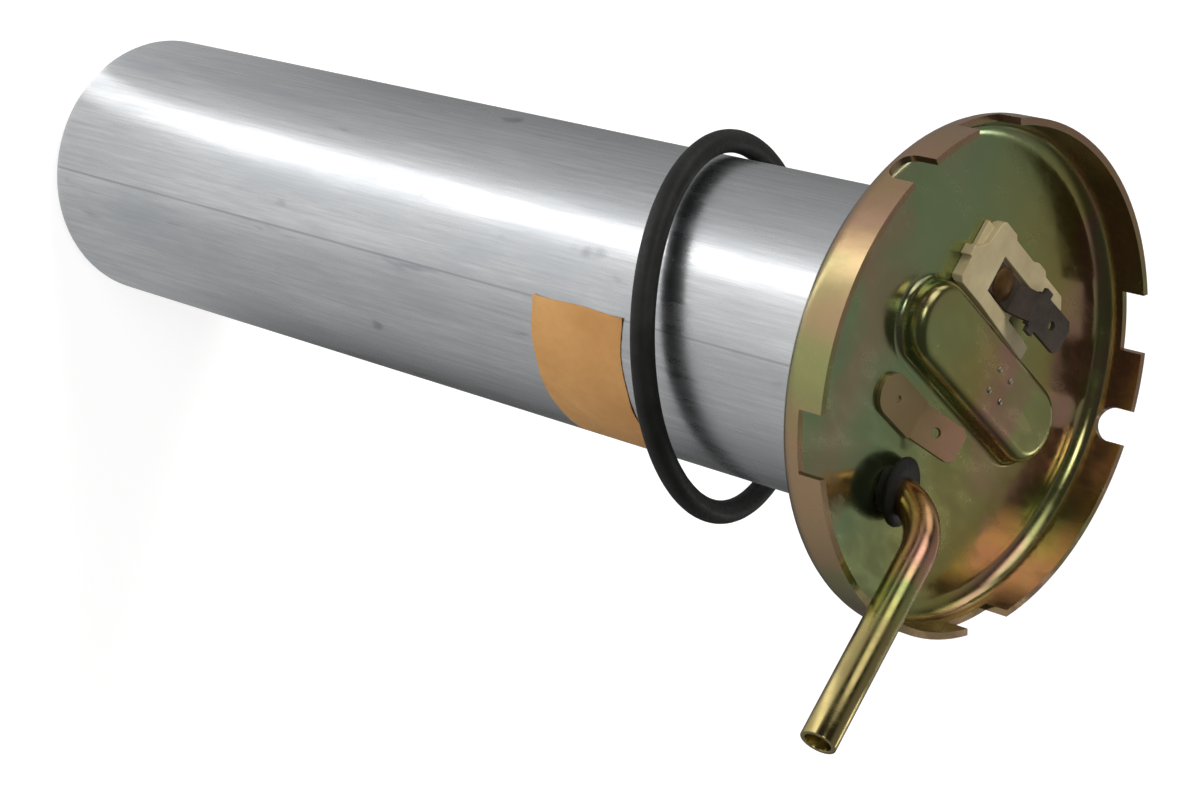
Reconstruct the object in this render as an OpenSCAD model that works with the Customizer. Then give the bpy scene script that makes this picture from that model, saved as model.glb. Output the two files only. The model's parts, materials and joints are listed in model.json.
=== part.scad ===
// Fuel tank sending unit: a float gauge in a drawn tube, with the fuel outlet pipe.
// The origin is the centre of the flange's seating face, and +Z points up out of the tank.
// X runs along the raised pad of the flange.

/* [Flange] */
// Outer diameter of the flange
flange_d = 86; // [82:0.5:92]
// Sheet thickness of the flange
flange_t = 1.2; // [0.8:0.1:1.6]
// Height of the rim's lip above the seating face
rim_h = 9.7; // [8.5:0.1:12]
// Outside radius between the plate and the rim
flange_corner_r = 4.6; // [3:0.1:6]

/* [Rim notches] */
// Number of square notches, evenly spaced
square_notch_count = 4; // [2:1:6]
// Direction of the first square notch
square_notch_azimuth = 44.2; // [40:0.1:48]
// Width of a square notch
square_notch_w = 10.5; // [6:0.1:13]
// Depth of a square notch below the lip
square_notch_depth = 4.35; // [2:0.05:5]
// Directions of the two round-bottomed notches
round_notch_azimuths = [19.2, 160]; // [0:0.1:360]
// Width of a round-bottomed notch
round_notch_w = 6; // [4:0.1:7]
// Depth of a round-bottomed notch below the lip
round_notch_depth = 6.3; // [4:0.1:6.8]

/* [Raised pad] */
// Length of the pad at its foot
pad_l = 46.6; // [38:0.1:50]
// Width of the pad at its foot
pad_w = 14; // [12:0.5:16]
// Height of the pad above the plate
pad_h = 4.5; // [3.5:0.1:6]
// Edge radius of the pad's top
pad_edge_r = 2.4; // [1.8:0.1:3]
// Fillet between the pad and the plate
pad_foot_r = 1.5; // [0.8:0.1:2]
// Middle of the pad along X
pad_x = 4.2; // [1:0.1:5]
// Middle of the pad along Y
pad_y = 2.6; // [1.8:0.1:2.8]
// Distance between the four weld marks on the pad
weld_pitch = 4; // [3:0.1:6]
// Diameter of a weld mark
weld_mark_d = 0.9; // [0.5:0.1:1.4]
// Distance of the weld marks' middle from the pad's middle
weld_offset = 3.1; // [1:0.1:4]

/* [Tube] */
// Outer diameter of the tube
tube_d = 54; // [53.6:0.1:56]
// Wall of the tube
tube_wall = 0.8; // [0.5:0.05:0.9]
// Length of the tube below the seating face
tube_l = 216.6; // [205:0.1:240]
// Outside radius of the closed end
tube_end_r = 5; // [3:0.1:7]
// Width of the tube's turned-out lip
tube_lip = 2.6; // [2:0.1:3]
// Gap round the lip in the flange's shallow recess
lip_gap = 0.4; // [0.2:0.1:0.8]
// Depth of the recess in which the lip lies
lip_recess = 0.1; // [0.05:0.05:0.3]
// Diameter of the fuel inlet holes in the closed end
inlet_d = 5; // [3:0.1:7]
// Number of inlet holes
inlet_count = 5; // [3:1:8]
// Pitch circle diameter of the inlet holes
inlet_pcd = 26; // [20:0.5:32]
// Diameter of the vent hole near the flange
vent_d = 3; // [2:0.1:4]
// Distance of the vent hole below the seating face
vent_depth = 9; // [5:0.5:12]

/* [Outlet pipe] */
// Outer diameter of the pipe
pipe_d = 6; // [5.6:0.1:6.2]
// Bore of the pipe
pipe_bore = 4.4; // [3.5:0.1:4.8]
// Where the pipe passes the plate, along X
pipe_x = -0.2; // [-2:0.1:2]
// Gap between the pipe and the tube's wall
pipe_gap = 0.6; // [0.55:0.05:1]
// Bend radius of the pipe's centre line
pipe_bend_r = 13; // [10:0.5:16]
// Slope of the pipe's free end above level
pipe_rise = 8; // [0:0.5:20]
// Direction of the pipe's free end
pipe_azimuth = -101; // [-110:0.5:-80]
// Length of the pipe's straight free end
pipe_run = 35; // [25:0.5:45]
// How much the pipe's radius draws in at the bend
bend_slim = 0.02; // [0.01:0.01:0.05]
// Outer diameter of the rubber collar's head
collar_d = 10.8; // [9.8:0.1:12]
// Height of the rubber collar above the plate
collar_h = 3.6; // [3:0.1:4.5]
// Height of the collar's head
collar_head_h = 1.9; // [1.4:0.1:2.2]
// Diameter of the collar's neck on the plate
collar_neck_d = 8.6; // [8:0.1:9.4]
// Roundness of the collar's edges
collar_edge_r = 0.7; // [0.4:0.05:0.7]
// Wall of the strainer round the pipe's lower end
strainer_wall = 0.5; // [0.4:0.05:0.5]
// Length of the strainer
strainer_l = 11.5; // [9:0.5:12]
// Diameter of the strainer's openings
strainer_hole_d = 1.5; // [1:0.1:1.8]
// Depth of the pipe's end in the strainer
strainer_grip = 4; // [3:0.5:5]

/* [Signal terminal] */
// Where the terminal rivet stands, along X
rivet_x = -1.2; // [-1.6:0.1:-0.8]
// Where the terminal rivet stands, along Y
rivet_y = 16.7; // [16.5:0.1:17]
// Diameter of the rivet's head
rivet_head_d = 6; // [5:0.1:6.1]
// Height of the rivet's head
rivet_head_h = 1.1; // [0.8:0.1:1.6]
// Diameter of the rivet's shank
rivet_shank_d = 2.6; // [2:0.1:3]
// Height of the insulating block above the plate
block_h = 2.2; // [2:0.1:3]
// Thickness of the block's floor under the terminal
block_floor = 1; // [0.8:0.1:1.2]
// Length of the block
block_l = 27.8; // [26:0.1:29]
// Width of the block without its lugs
block_w = 12.9; // [12.8:0.1:13.5]
// Distance from the rivet to the block's left edge
block_side = 11; // [10.8:0.1:11.4]
// Distance from the rivet to the block's lower edge
block_front = 5.9; // [5.7:0.1:6]
// How far the block's lugs stand out
block_lug = 0.7; // [0.4:0.1:1.2]
// Width of the block's upright post at its left
block_post_w = 7.6; // [6.6:0.1:7.6]
// Width of the block's lower bar
block_bar_w = 2.7; // [2.4:0.1:2.8]
// How much shorter the block's lower bar is than the block
block_bar_back = 1; // [0:0.1:3]
// Height of the lower bar's thin end
block_bar_tip = 0.4; // [0.3:0.1:1]
// Width of the block's upper arm
block_arm_w = 3.7; // [3.2:0.1:3.7]
// Height of the cut that frees the block's lower edge from the pad's fillet
block_relief = 0.5; // [0.4:0.1:1]
// Edge of the insulating sleeve in the plate's hole
sleeve_wall = 0.8; // [0.5:0.1:1]
// Thickness of the insulating washer under the plate
washer_t = 1; // [0.8:0.1:1.6]
// Diameter of the insulating washer
washer_d = 8; // [6.5:0.1:9]

/* [Blades] */
// Width of a push-on blade
blade_w = 6.3; // [4.8:0.1:6.8]
// Thickness of a blade's sheet
blade_t = 0.8; // [0.5:0.1:1]
// Width of the signal blade's shoulders
shoulder_w = 8.3; // [7.5:0.1:9]
// Length of the signal blade's shoulders
shoulder_l = 1.9; // [1:0.1:2.4]
// Width of the signal terminal's foot and ramp
neck_w = 5.4; // [4:0.1:5.4]
// Distance from the rivet to the signal blade's end
spade_reach = 17; // [14:0.1:19]
// Height of the shoulders above the terminal's foot
spade_step = 3.4; // [2.8:0.1:4]
// Slope of the signal blade above level
spade_rise = 2; // [0:0.5:15]
// Diameter of the locking hole in a blade
blade_hole_d = 1.7; // [1.2:0.1:2.2]
// Distance of the locking hole from the signal blade's end
blade_hole_back = 4.8; // [4:0.1:6]
// Corner cut at a blade's end
blade_chamfer = 1.1; // [0.5:0.1:1.6]
// Where the ground tab's round foot is centred, along X
ground_x = -11.3; // [-13:0.1:-10]
// Middle of the ground tab along Y
ground_y = -10.9; // [-11.4:0.1:-10.6]
// Width of the ground tab's foot
ground_foot_w = 7.1; // [6.5:0.1:7.4]
// Distance from the foot's centre to the fold
ground_fold = 8.4; // [6:0.1:10]
// Length of the ground blade past the fold
ground_blade_l = 8.9; // [7:0.1:10]
// Slope of the ground blade
ground_rise = 30; // [20:1:40]

/* [Sealing ring and label] */
// Section diameter of the sealing ring
ring_section = 4.3; // [3.5:0.1:4.6]
// How much wider the ring's bore is than the tube
ring_slack = 6.8; // [6.6:0.1:9]
// Tilt of the ring as it hangs on the tube
ring_tilt = 17.6; // [0:0.1:18]
// Direction in which the ring leans
ring_lean_azimuth = 63.6; // [50:0.1:80]
// Middle of the ring along X
ring_x = 1.9; // [1:0.1:2.2]
// Middle of the ring along Y
ring_y = -1.7; // [-2:0.1:-1.2]
// Distance of the ring's middle below the seating face
ring_depth = 48.1; // [20:0.1:150]
// Height of the paper label along the tube
label_h = 22; // [10:0.5:30]
// Distance of the label's upper edge below the seating face
label_depth = 48; // [40:0.5:120]
// Direction of the label's first edge
label_azimuth = -147; // [-180:1:180]
// Angle that the label covers
label_angle = 68; // [20:1:120]
// Thickness of the label
label_t = 0.15; // [0.1:0.05:0.2]

/* [Gauge carrier] */
// Distance of the upper insulator below the seating face
upper_depth = 15; // [13:0.5:20]
// Height of the fuel chamber under the lower insulator
sump_h = 17; // [16:0.5:24]
// Thickness of an insulator disc
disc_t = 3; // [2:0.1:4]
// Gap between an insulator disc and the tube
disc_gap = 0.4; // [0.2:0.1:0.6]
// Sheet thickness of the carrier bracket
bracket_t = 1.2; // [0.8:0.1:1.5]
// Width of the carrier bracket
bracket_w = 9; // [7:0.1:9.4]
// Middle of the carrier bracket along X
bracket_x = 6; // [5.8:0.1:6.4]
// Distance from the bracket's middle to the outside of a leg
bracket_leg = 12; // [11.5:0.1:12.5]
// Distance from a bracket foot's corner to the insulator's edge
bracket_edge = 0.1; // [0.05:0.05:0.5]
// Diameter of the guide rod
rod_d = 4; // [3:0.1:4.4]
// Width across the flats of a rod nut
nut_af = 7; // [6.5:0.1:8]
// Height of a rod nut
nut_h = 3.2; // [2.4:0.1:4]
// How far the rod stands out of its end nuts
rod_tail = 1.5; // [0.5:0.1:2.5]
// Thickness of a rubber stop on the rod
buffer_t = 2; // [1:0.1:4]
// Diameter of a rubber stop
buffer_d = 9; // [8.5:0.1:11]
// Distance of the gauge wires from the rod, as a share of the float's radius
wire_spread = 0.59; // [0.57:0.01:0.61]
// Diameter of a gauge wire
wire_d = 0.4; // [0.3:0.05:0.6]
// Thickness of the spring leaves
leaf_t = 0.4; // [0.3:0.05:0.6]
// Width of a spring leaf
leaf_w = 5; // [4.4:0.1:5.2]
// Length of a spring leaf's foot
leaf_foot_l = 4; // [3.6:0.1:4.2]
// Distance from a gauge wire to the middle of its leaf's foot
leaf_reach = 5.2; // [5:0.1:5.4]
// How far a leaf arm springs up from the insulator
leaf_lift = 2.4; // [1.5:0.1:3]
// Diameter of the small rivets
small_rivet_d = 2; // [1.6:0.1:2.2]

/* [Float] */
// Gap between the float and the outlet pipe
float_gap = 2.6; // [1:0.1:4]
// Height of the float's foam body
float_h = 28; // [20:0.5:40]
// Edge radius of the float
float_edge_r = 2; // [0.5:0.1:3]
// Hole in the float round each gauge wire
wire_hole_d = 6; // [5:0.1:7]
// Wall of a float bush
bush_wall = 1.1; // [0.8:0.1:1.4]
// Flange diameter of a float bush
bush_flange_d = 9.4; // [8.5:0.1:9.8]
// Flange thickness of a float bush
bush_flange_t = 1; // [0.6:0.1:1.5]
// Width of a wiper finger
wiper_w = 1.6; // [1:0.1:2.4]
// Height of a wiper finger above the float
wiper_h = 4; // [3:0.1:5]

/* [Clearances] */
// Running clearance of the float's bushes on the rod
slide_gap = 0.1; // [0.05:0.01:0.15]
// Clearance between parts that meet at a moving end
rest_gap = 0.3; // [0.2:0.05:0.5]
// Clearance of a wiper from its wire
wiper_gap = 0.15; // [0.1:0.05:0.2]
// Clearance of fixed parts in their holes
hole_gap = 0.1; // [0.05:0.01:0.2]

/* [Hidden] */
$fn = 96;
over = 1;
cut_slack = 0.001;

flange_r = flange_d / 2;
inner_corner_r = flange_corner_r - flange_t;
pad_top = flange_t + pad_h;
pad_end_x = (pad_l - pad_w) / 2;
weld_x = pad_x + weld_offset;
tube_r = tube_d / 2;
tube_inner_r = tube_r - tube_wall;
tube_lip_d = tube_d + 2 * tube_lip;
ring_d = tube_d + ring_slack + ring_section;
pipe_y = pipe_gap + pipe_d / 2 - tube_inner_r;
pipe_bend_angle = 90 - pipe_rise;
pipe_bend_z = flange_t - hole_gap;
bend_lap = 0.3;
pipe_slot_w = pipe_d + 2 * hole_gap;
pipe_end_z = -tube_l + tube_wall + sump_h - disc_t - 2;
strainer_d = pipe_d + 2 * strainer_wall;
strainer_top = pipe_end_z + strainer_grip;

rivet_foot_z = flange_t + block_floor;
spade_sheet_z = rivet_foot_z + blade_t / 2;
shank_r = rivet_shank_d / 2;
sleeve_r = shank_r + sleeve_wall;
block_left = rivet_x - block_side;
block_low = rivet_y - block_front;
ground_sheet_z = flange_t + blade_t / 2;

upper_top = -upper_depth;
upper_bottom = upper_top - disc_t;
lower_top = -tube_l + tube_wall + sump_h + disc_t;
lower_bottom = lower_top - disc_t;
disc_r = tube_inner_r - disc_gap;
bracket_right = bracket_x + bracket_leg;
bracket_toe_x = sqrt(pow(disc_r, 2) - pow(pad_y + bracket_w / 2, 2)) - bracket_edge;
bracket_foot = bracket_toe_x - bracket_right;
bracket_rivet_x = bracket_leg + bracket_foot / 2;
nut_r = nut_af / 2 / cos(30);
upper_stop_z = upper_bottom - nut_h - buffer_t;
lower_stop_z = lower_top + nut_h + buffer_t;
float_d = 2 * (-pipe_y - pipe_d / 2 - float_gap);
wire_offset = wire_spread * float_d / 2;
leaf_foot_y = wire_offset + leaf_reach;
leaf_arm_z = upper_top + leaf_lift;
eyelet_head = 0.6;

float_bottom = lower_stop_z + rest_gap + bush_flange_t;
float_top = float_bottom + float_h;
bush_r = rod_d / 2 + slide_gap;
bush_outer_r = bush_r + bush_wall;
bridge_r = bush_flange_d / 2 + 3;

// A flat annulus or disc from z upwards
module ring_disc(r_out, r_in, z, h) {
  translate([0, 0, z])
    difference() {
      cylinder(h = h, r = r_out);
      translate([0, 0, -over])
        cylinder(h = h + 2 * over, r = r_in);
    }
}

// A quarter of a bend in sheet, drawn about its own centre, in the lower right corner
module sheet_corner(r_out, t) {
  intersection() {
    difference() {
      circle(r = r_out);
      circle(r = r_out - t);
    }
    translate([0, -r_out])
      square(r_out);
  }
}

// One straight stretch of folded strip, drawn in the X-Z plane about its middle line
module strip_leg(from, to, t) {
  run = to - from;
  translate(from)
    rotate(atan2(run[1], run[0]))
      translate([0, -t / 2])
        square([norm(run), t]);
  translate(to)
    circle(d = t, $fn = 24);
}

// A folded strip along a list of points in the X-Z plane, of width w along Y
module folded_strip(points, t, w) {
  translate([0, w / 2, 0])
    rotate([90, 0, 0])
      linear_extrude(height = w) {
        translate(points[0])
          circle(d = t, $fn = 24);
        for (i = [1 : len(points) - 1])
          strip_leg(points[i - 1], points[i], t);
      }
}

// A blade's outline from x0 to x1 along X, with its end corners cut
module blade_outline(x0, x1, w, cut) {
  polygon([
    [x0, -w / 2], [x1 - cut, -w / 2], [x1, -w / 2 + cut],
    [x1, w / 2 - cut], [x1 - cut, w / 2], [x0, w / 2]
  ]);
}

// A headed rivet from z_low to z_high with a flat head at each end
module flat_rivet(shank_radius, head_radius, head, z_low, z_high) {
  translate([0, 0, z_low])
    cylinder(h = z_high - z_low, r = shank_radius, $fn = 32);
  translate([0, 0, z_high])
    cylinder(h = head, r1 = head_radius, r2 = head_radius * 0.7, $fn = 32);
  translate([0, 0, z_low - head])
    cylinder(h = head, r1 = head_radius * 0.8, r2 = head_radius, $fn = 32);
}

// Half of the pad's cross-section: grow is 0 for the outside and the sheet for the inside
module pad_half_section(top, half_w, edge, foot) {
  square([half_w - edge, top]);
  square([half_w, top - edge]);
  translate([half_w - edge, top - edge])
    circle(r = edge);
  difference() {
    translate([half_w - 0.01, 0])
      square([foot + 0.01, foot + (half_w < pad_w / 2 ? 0 : flange_t)]);
    translate([half_w + foot, foot + (half_w < pad_w / 2 ? 0 : flange_t)])
      circle(r = foot);
  }
}

// Sweeps half a section round the pad's outline
module round_the_pad() {
  translate([pad_x, pad_y, 0]) {
    for (side = [-1, 1])
      translate([side * pad_end_x, 0, 0])
        rotate_extrude()
          intersection() {
            children();
            square([pad_w, pad_top + over]);
          }
    for (flip = [0, 1])
      mirror([0, flip, 0])
        translate([-pad_end_x, 0, 0])
          rotate([90, 0, 90])
            linear_extrude(height = 2 * pad_end_x)
              children();
  }
}

// The rim notches' cutters
module notch_cutters() {
  for (i = [0 : square_notch_count - 1])
    rotate([0, 0, square_notch_azimuth + i * 360 / square_notch_count])
      translate([flange_r - flange_corner_r, -square_notch_w / 2, rim_h - square_notch_depth])
        cube([flange_corner_r + over, square_notch_w, square_notch_depth + over]);
  for (azimuth = round_notch_azimuths)
    rotate([0, 0, azimuth])
      translate([flange_r - flange_corner_r, 0, rim_h - round_notch_depth + round_notch_w / 2]) {
        rotate([0, 90, 0])
          cylinder(h = flange_corner_r + over, d = round_notch_w);
        translate([0, -round_notch_w / 2, 0])
          cube([flange_corner_r + over, round_notch_w, round_notch_depth]);
      }
}

// The pressed flange: plate, upturned rim with notches, and the hollow raised pad
module flange_plate() {
  color([0.62, 0.56, 0.35])
    difference() {
      union() {
        rotate_extrude() {
          square([flange_r - flange_corner_r, flange_t]);
          translate([flange_r - flange_t, flange_corner_r])
            square([flange_t, rim_h - flange_corner_r]);
          translate([flange_r - flange_corner_r, flange_corner_r])
            sheet_corner(flange_corner_r, flange_t);
        }
        round_the_pad()
          pad_half_section(pad_top, pad_w / 2, pad_edge_r, pad_foot_r);
      }
      translate([0, 0, -cut_slack])
        round_the_pad()
          pad_half_section(pad_top - flange_t, pad_w / 2 - flange_t,
                           pad_edge_r - flange_t, pad_foot_r + flange_t);
      notch_cutters();
      translate([0, 0, -over])
        cylinder(h = over + lip_recess, r = tube_lip_d / 2 + lip_gap);
      translate([pipe_x, pipe_y, -over])
        cylinder(h = flange_t + 2 * over, d = pipe_slot_w);
      translate([rivet_x, rivet_y, -over])
        cylinder(h = flange_t + 2 * over, r = sleeve_r + hole_gap);
      for (dx = [-1, 1], dy = [-1, 1])
        translate([weld_x + dx * weld_pitch / 2, pad_y + dy * weld_pitch / 2, pad_top - 0.25])
          cylinder(h = over, d = weld_mark_d, $fn = 24);
    }
}

// The drawn tube: closed end below, turned-out lip under the flange
module sender_tube() {
  color([0.76, 0.77, 0.79])
    difference() {
      rotate_extrude() {
        translate([0, -tube_l])
          square([tube_r - tube_end_r, tube_wall]);
        translate([tube_r - tube_end_r, -tube_l + tube_end_r])
          sheet_corner(tube_end_r, tube_wall);
        translate([tube_inner_r, -tube_l + tube_end_r])
          square([tube_wall, tube_l - tube_end_r + lip_recess]);
        translate([tube_inner_r, lip_recess - tube_wall])
          square([tube_lip_d / 2 - tube_inner_r, tube_wall]);
      }
      for (i = [0 : inlet_count - 1])
        rotate([0, 0, i * 360 / inlet_count])
          translate([inlet_pcd / 2, 0, -tube_l - over])
            cylinder(h = tube_wall + 2 * over, d = inlet_d);
      rotate([0, 0, round_notch_azimuths[0]])
        translate([tube_inner_r - over, 0, -vent_depth])
          rotate([0, 90, 0])
            cylinder(h = tube_wall + 2 * over, d = vent_d);
    }
}

// The pipe's path as a solid of radius r: riser, bend and straight free end.
// The bend is drawn a little slimmer, and the straight ends lap over it.
module pipe_path(r, extra) {
  translate([pipe_x, pipe_y, 0])
    rotate([0, 0, pipe_azimuth]) {
      translate([0, 0, pipe_end_z - extra])
        cylinder(h = pipe_bend_z - pipe_end_z + extra + bend_lap, r = r);
      translate([pipe_bend_r, 0, pipe_bend_z])
        rotate([90, 0, 0])
          rotate([0, 0, 180 - pipe_bend_angle]) {
            rotate_extrude(angle = pipe_bend_angle)
              translate([pipe_bend_r, 0])
                circle(r = r - bend_slim);
            translate([pipe_bend_r, bend_lap, 0])
              rotate([90, 0, 0])
                cylinder(h = bend_lap + pipe_run + extra, r = r);
          }
    }
}

// The bent outlet pipe, open at both ends
module outlet_pipe() {
  color([0.72, 0.62, 0.36])
    difference() {
      pipe_path(pipe_d / 2, 0);
      pipe_path(pipe_bore / 2, over);
    }
}

// The rubber collar that seals the pipe on the plate: a neck under a wider head
module pipe_collar() {
  edge_x = collar_d / 2 - collar_edge_r;
  head_z = collar_h - collar_head_h;
  color([0.07, 0.07, 0.08])
    difference() {
      translate([pipe_x, pipe_y, flange_t])
        rotate_extrude() {
          square([collar_neck_d / 2, collar_h]);
          translate([0, head_z])
            square([edge_x, collar_head_h]);
          translate([0, head_z + collar_edge_r])
            square([collar_d / 2, collar_head_h - 2 * collar_edge_r]);
          for (z = [head_z + collar_edge_r, collar_h - collar_edge_r])
            translate([edge_x, z])
              circle(r = collar_edge_r);
        }
      pipe_path(pipe_d / 2 + hole_gap / 2, 0);
      translate([pipe_x - collar_d, pipe_y - collar_d, flange_t - collar_d])
        cube([2 * collar_d, 2 * collar_d, collar_d]);
    }
}

// The perforated strainer on the pipe's lower end
module pickup_strainer() {
  row_pitch = strainer_hole_d * 1.5;
  rows = floor((strainer_l - strainer_grip - 2) / row_pitch);
  color([0.75, 0.6, 0.3])
    translate([pipe_x, pipe_y, strainer_top - strainer_l])
      difference() {
        cylinder(h = strainer_l, d = strainer_d);
        translate([0, 0, 0.6])
          cylinder(h = strainer_l, d = pipe_bore);
        translate([0, 0, strainer_l - strainer_grip])
          cylinder(h = strainer_grip + over, d = pipe_d);
        for (row = [0 : rows - 1], turn = [0 : 2])
          translate([0, 0, 1.8 + row * row_pitch])
            rotate([90, 0, turn * 60 + row * 30])
              cylinder(h = strainer_d + over, d = strainer_hole_d, center = true, $fn = 20);
      }
}

// The moulded block's outline in plan, from its lower left corner
module block_plan() {
  lug_y = block_w + block_lug;
  arm_y = block_w - block_arm_w;
  bar_end = block_l - block_bar_back;
  lug_end = block_l - 8;
  lug_l = 4;
  post_x = 2.2;
  cut = 0.8;
  side_lug_y = 4.4;
  side_lug_l = 1.9;
  polygon([
    [cut, 0], [bar_end, 0], [bar_end, block_bar_w], [block_post_w, block_bar_w],
    [block_post_w, arm_y], [block_l - cut, arm_y], [block_l, arm_y + cut],
    [block_l, block_w - 2 * cut], [block_l - 2 * cut, block_w],
    [lug_end, block_w], [lug_end - cut, lug_y], [lug_end - lug_l + cut, lug_y],
    [lug_end - lug_l - cut, block_w], [block_post_w + cut, block_w], [block_post_w, lug_y],
    [post_x + 2 * cut, lug_y], [post_x + cut, lug_y - cut], [post_x, arm_y - cut],
    [0, side_lug_y + side_lug_l], [-block_lug, side_lug_y + side_lug_l],
    [-block_lug, side_lug_y], [0, side_lug_y], [0, cut]
  ]);
}

// The sloped cut under the block's lower edge, which clears the fillet of the pad
module block_relief_cut() {
  foot_y = pad_y + pad_w / 2 + pad_foot_r + hole_gap;
  translate([block_left - over, 0, flange_t])
    rotate([90, 0, 90])
      linear_extrude(height = block_l)
        polygon([
          [block_low - over, -over], [foot_y, -over], [foot_y, 0],
          [block_low, block_relief], [block_low - over, block_relief]
        ]);
}

// The slope that thins the block's lower bar towards its free end
module block_bar_slope() {
  from = [block_left + block_post_w, flange_t + block_h];
  to = [block_left + block_l, flange_t + block_bar_tip];
  translate([0, block_low + block_bar_w + 0.1, 0])
    rotate([90, 0, 0])
      linear_extrude(height = block_bar_w + over)
        polygon([from, to, to + [over, 0], to + [over, block_h], from + [0, over]]);
}

// The ivory insulating block: a frame round the terminal, with its floor and sleeve
module terminal_block() {
  color([0.88, 0.82, 0.68])
    difference() {
      union() {
        translate([block_left, block_low, flange_t])
          linear_extrude(height = block_h)
            block_plan();
        translate([block_left + over, block_low + over, flange_t])
          cube([rivet_x - block_left + rivet_head_d, block_w - 2 * over, block_floor]);
        translate([rivet_x, rivet_y, lip_recess])
          cylinder(h = flange_t + over / 2 - lip_recess, r = sleeve_r);
      }
      translate([rivet_x, rivet_y, -over])
        cylinder(h = block_h + flange_t + 2 * over, r = shank_r);
      block_relief_cut();
      block_bar_slope();
    }
}

// The terminal rivet, domed above and spread below the contact strip
module terminal_rivet() {
  head_r = rivet_head_d / 2;
  foot = -washer_t - leaf_t;
  head_z = rivet_foot_z + blade_t;
  dome_r = (head_r * head_r + rivet_head_h * rivet_head_h) / (2 * rivet_head_h);
  color([0.5, 0.4, 0.24])
    translate([rivet_x, rivet_y, 0]) {
      translate([0, 0, foot])
        cylinder(h = head_z - foot, r = shank_r);
      intersection() {
        translate([0, 0, head_z])
          cylinder(h = rivet_head_h, r = head_r);
        translate([0, 0, head_z + rivet_head_h - dome_r])
          sphere(r = dome_r);
      }
      translate([0, 0, foot - 0.8])
        cylinder(h = 0.8, r1 = shank_r * 1.3, r2 = shank_r * 1.6);
    }
}

// The signal terminal: foot, ramp, shoulders and push-on blade in one folded strip
module signal_spade() {
  foot_back = rivet_head_d / 2;
  ramp_x = foot_back + 1.4;
  step_x = ramp_x + spade_step * 0.6;
  blade_end_z = spade_step + (spade_reach + blade_t - step_x) * tan(spade_rise);
  color([0.2, 0.15, 0.16])
    translate([rivet_x, rivet_y, spade_sheet_z])
      difference() {
        intersection() {
          folded_strip([[-neck_w, 0], [ramp_x, 0], [step_x, spade_step],
                        [spade_reach + blade_t, blade_end_z]], blade_t, 2 * shoulder_w);
          translate([0, 0, -over])
            linear_extrude(height = blade_end_z + 3 * over) {
              translate([-foot_back, -neck_w / 2])
                square([foot_back + step_x + over, neck_w]);
              translate([step_x + blade_t / 2, -shoulder_w / 2])
                square([shoulder_l, shoulder_w]);
              blade_outline(step_x, spade_reach, blade_w, blade_chamfer);
            }
        }
        translate([0, 0, -over])
          cylinder(h = 2 * over, r = shank_r);
        translate([spade_reach - blade_hole_back, 0, 0])
          cylinder(h = 3 * spade_step, d = blade_hole_d, $fn = 32);
      }
}

// The insulating washer under the plate
module inner_washer() {
  color([0.55, 0.36, 0.2])
    translate([rivet_x, rivet_y, 0])
      ring_disc(washer_d / 2, shank_r, -washer_t, washer_t + lip_recess);
}

// The bare strip that carries the signal from the rivet down to the spring leaf
module contact_strip() {
  strip_w = 4;
  drop_x = -rivet_x + small_rivet_d;
  color([0.78, 0.6, 0.32])
    translate([rivet_x, rivet_y, -washer_t - leaf_t / 2])
      difference() {
        intersection() {
          folded_strip([[-strip_w, 0], [drop_x, 0],
                        [drop_x, upper_top + leaf_t + washer_t + leaf_t]], leaf_t, strip_w);
          translate([0, 0, -upper_depth])
            linear_extrude(height = upper_depth + over) {
              circle(d = strip_w);
              translate([0, -strip_w / 2])
                square([drop_x + over, strip_w]);
            }
        }
        translate([0, 0, -over])
          cylinder(h = 2 * over, r = shank_r);
      }
}

// The ground tab: round foot welded to the plate and a blade folded up from it
module ground_tab() {
  foot_r = ground_foot_w / 2;
  end_x = ground_fold + ground_blade_l * cos(ground_rise);
  end_z = ground_blade_l * sin(ground_rise);
  color([0.62, 0.52, 0.44])
    translate([ground_x, ground_y, ground_sheet_z])
      difference() {
        intersection() {
          folded_strip([[-2 * foot_r, 0], [ground_fold, 0], [end_x + over, end_z + over * tan(ground_rise)]],
                       blade_t, 2 * ground_foot_w);
          translate([0, 0, -over])
            linear_extrude(height = end_z + 3 * over) {
              circle(r = foot_r);
              translate([0, -foot_r])
                square([ground_fold, ground_foot_w]);
              blade_outline(ground_fold - over, end_x, blade_w + 0.2, blade_chamfer * cos(ground_rise));
            }
        }
        translate([ground_fold + ground_blade_l * 0.6 * cos(ground_rise), 0, 0])
          rotate([0, -ground_rise, 0])
            cylinder(h = 4 * ground_blade_l, d = blade_hole_d, center = true, $fn = 32);
        translate([1.5, 0, blade_t / 2 - 0.25])
          cylinder(h = over, d = 1.3, $fn = 24);
      }
}

// The loose rubber ring that seals the flange on the tank, hanging on the tube
module sealing_ring() {
  color([0.06, 0.06, 0.07])
    translate([ring_x, ring_y, -ring_depth])
      rotate([0, 0, ring_lean_azimuth])
        rotate([0, ring_tilt, 0])
          rotate_extrude()
            translate([ring_d / 2, 0])
              circle(d = ring_section);
}

// The paper label wrapped on the tube
module paper_label() {
  color([0.82, 0.62, 0.38])
    rotate([0, 0, label_azimuth])
      rotate_extrude(angle = label_angle)
        translate([tube_r, -label_depth - label_h])
          square([label_t, label_h]);
}

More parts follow.
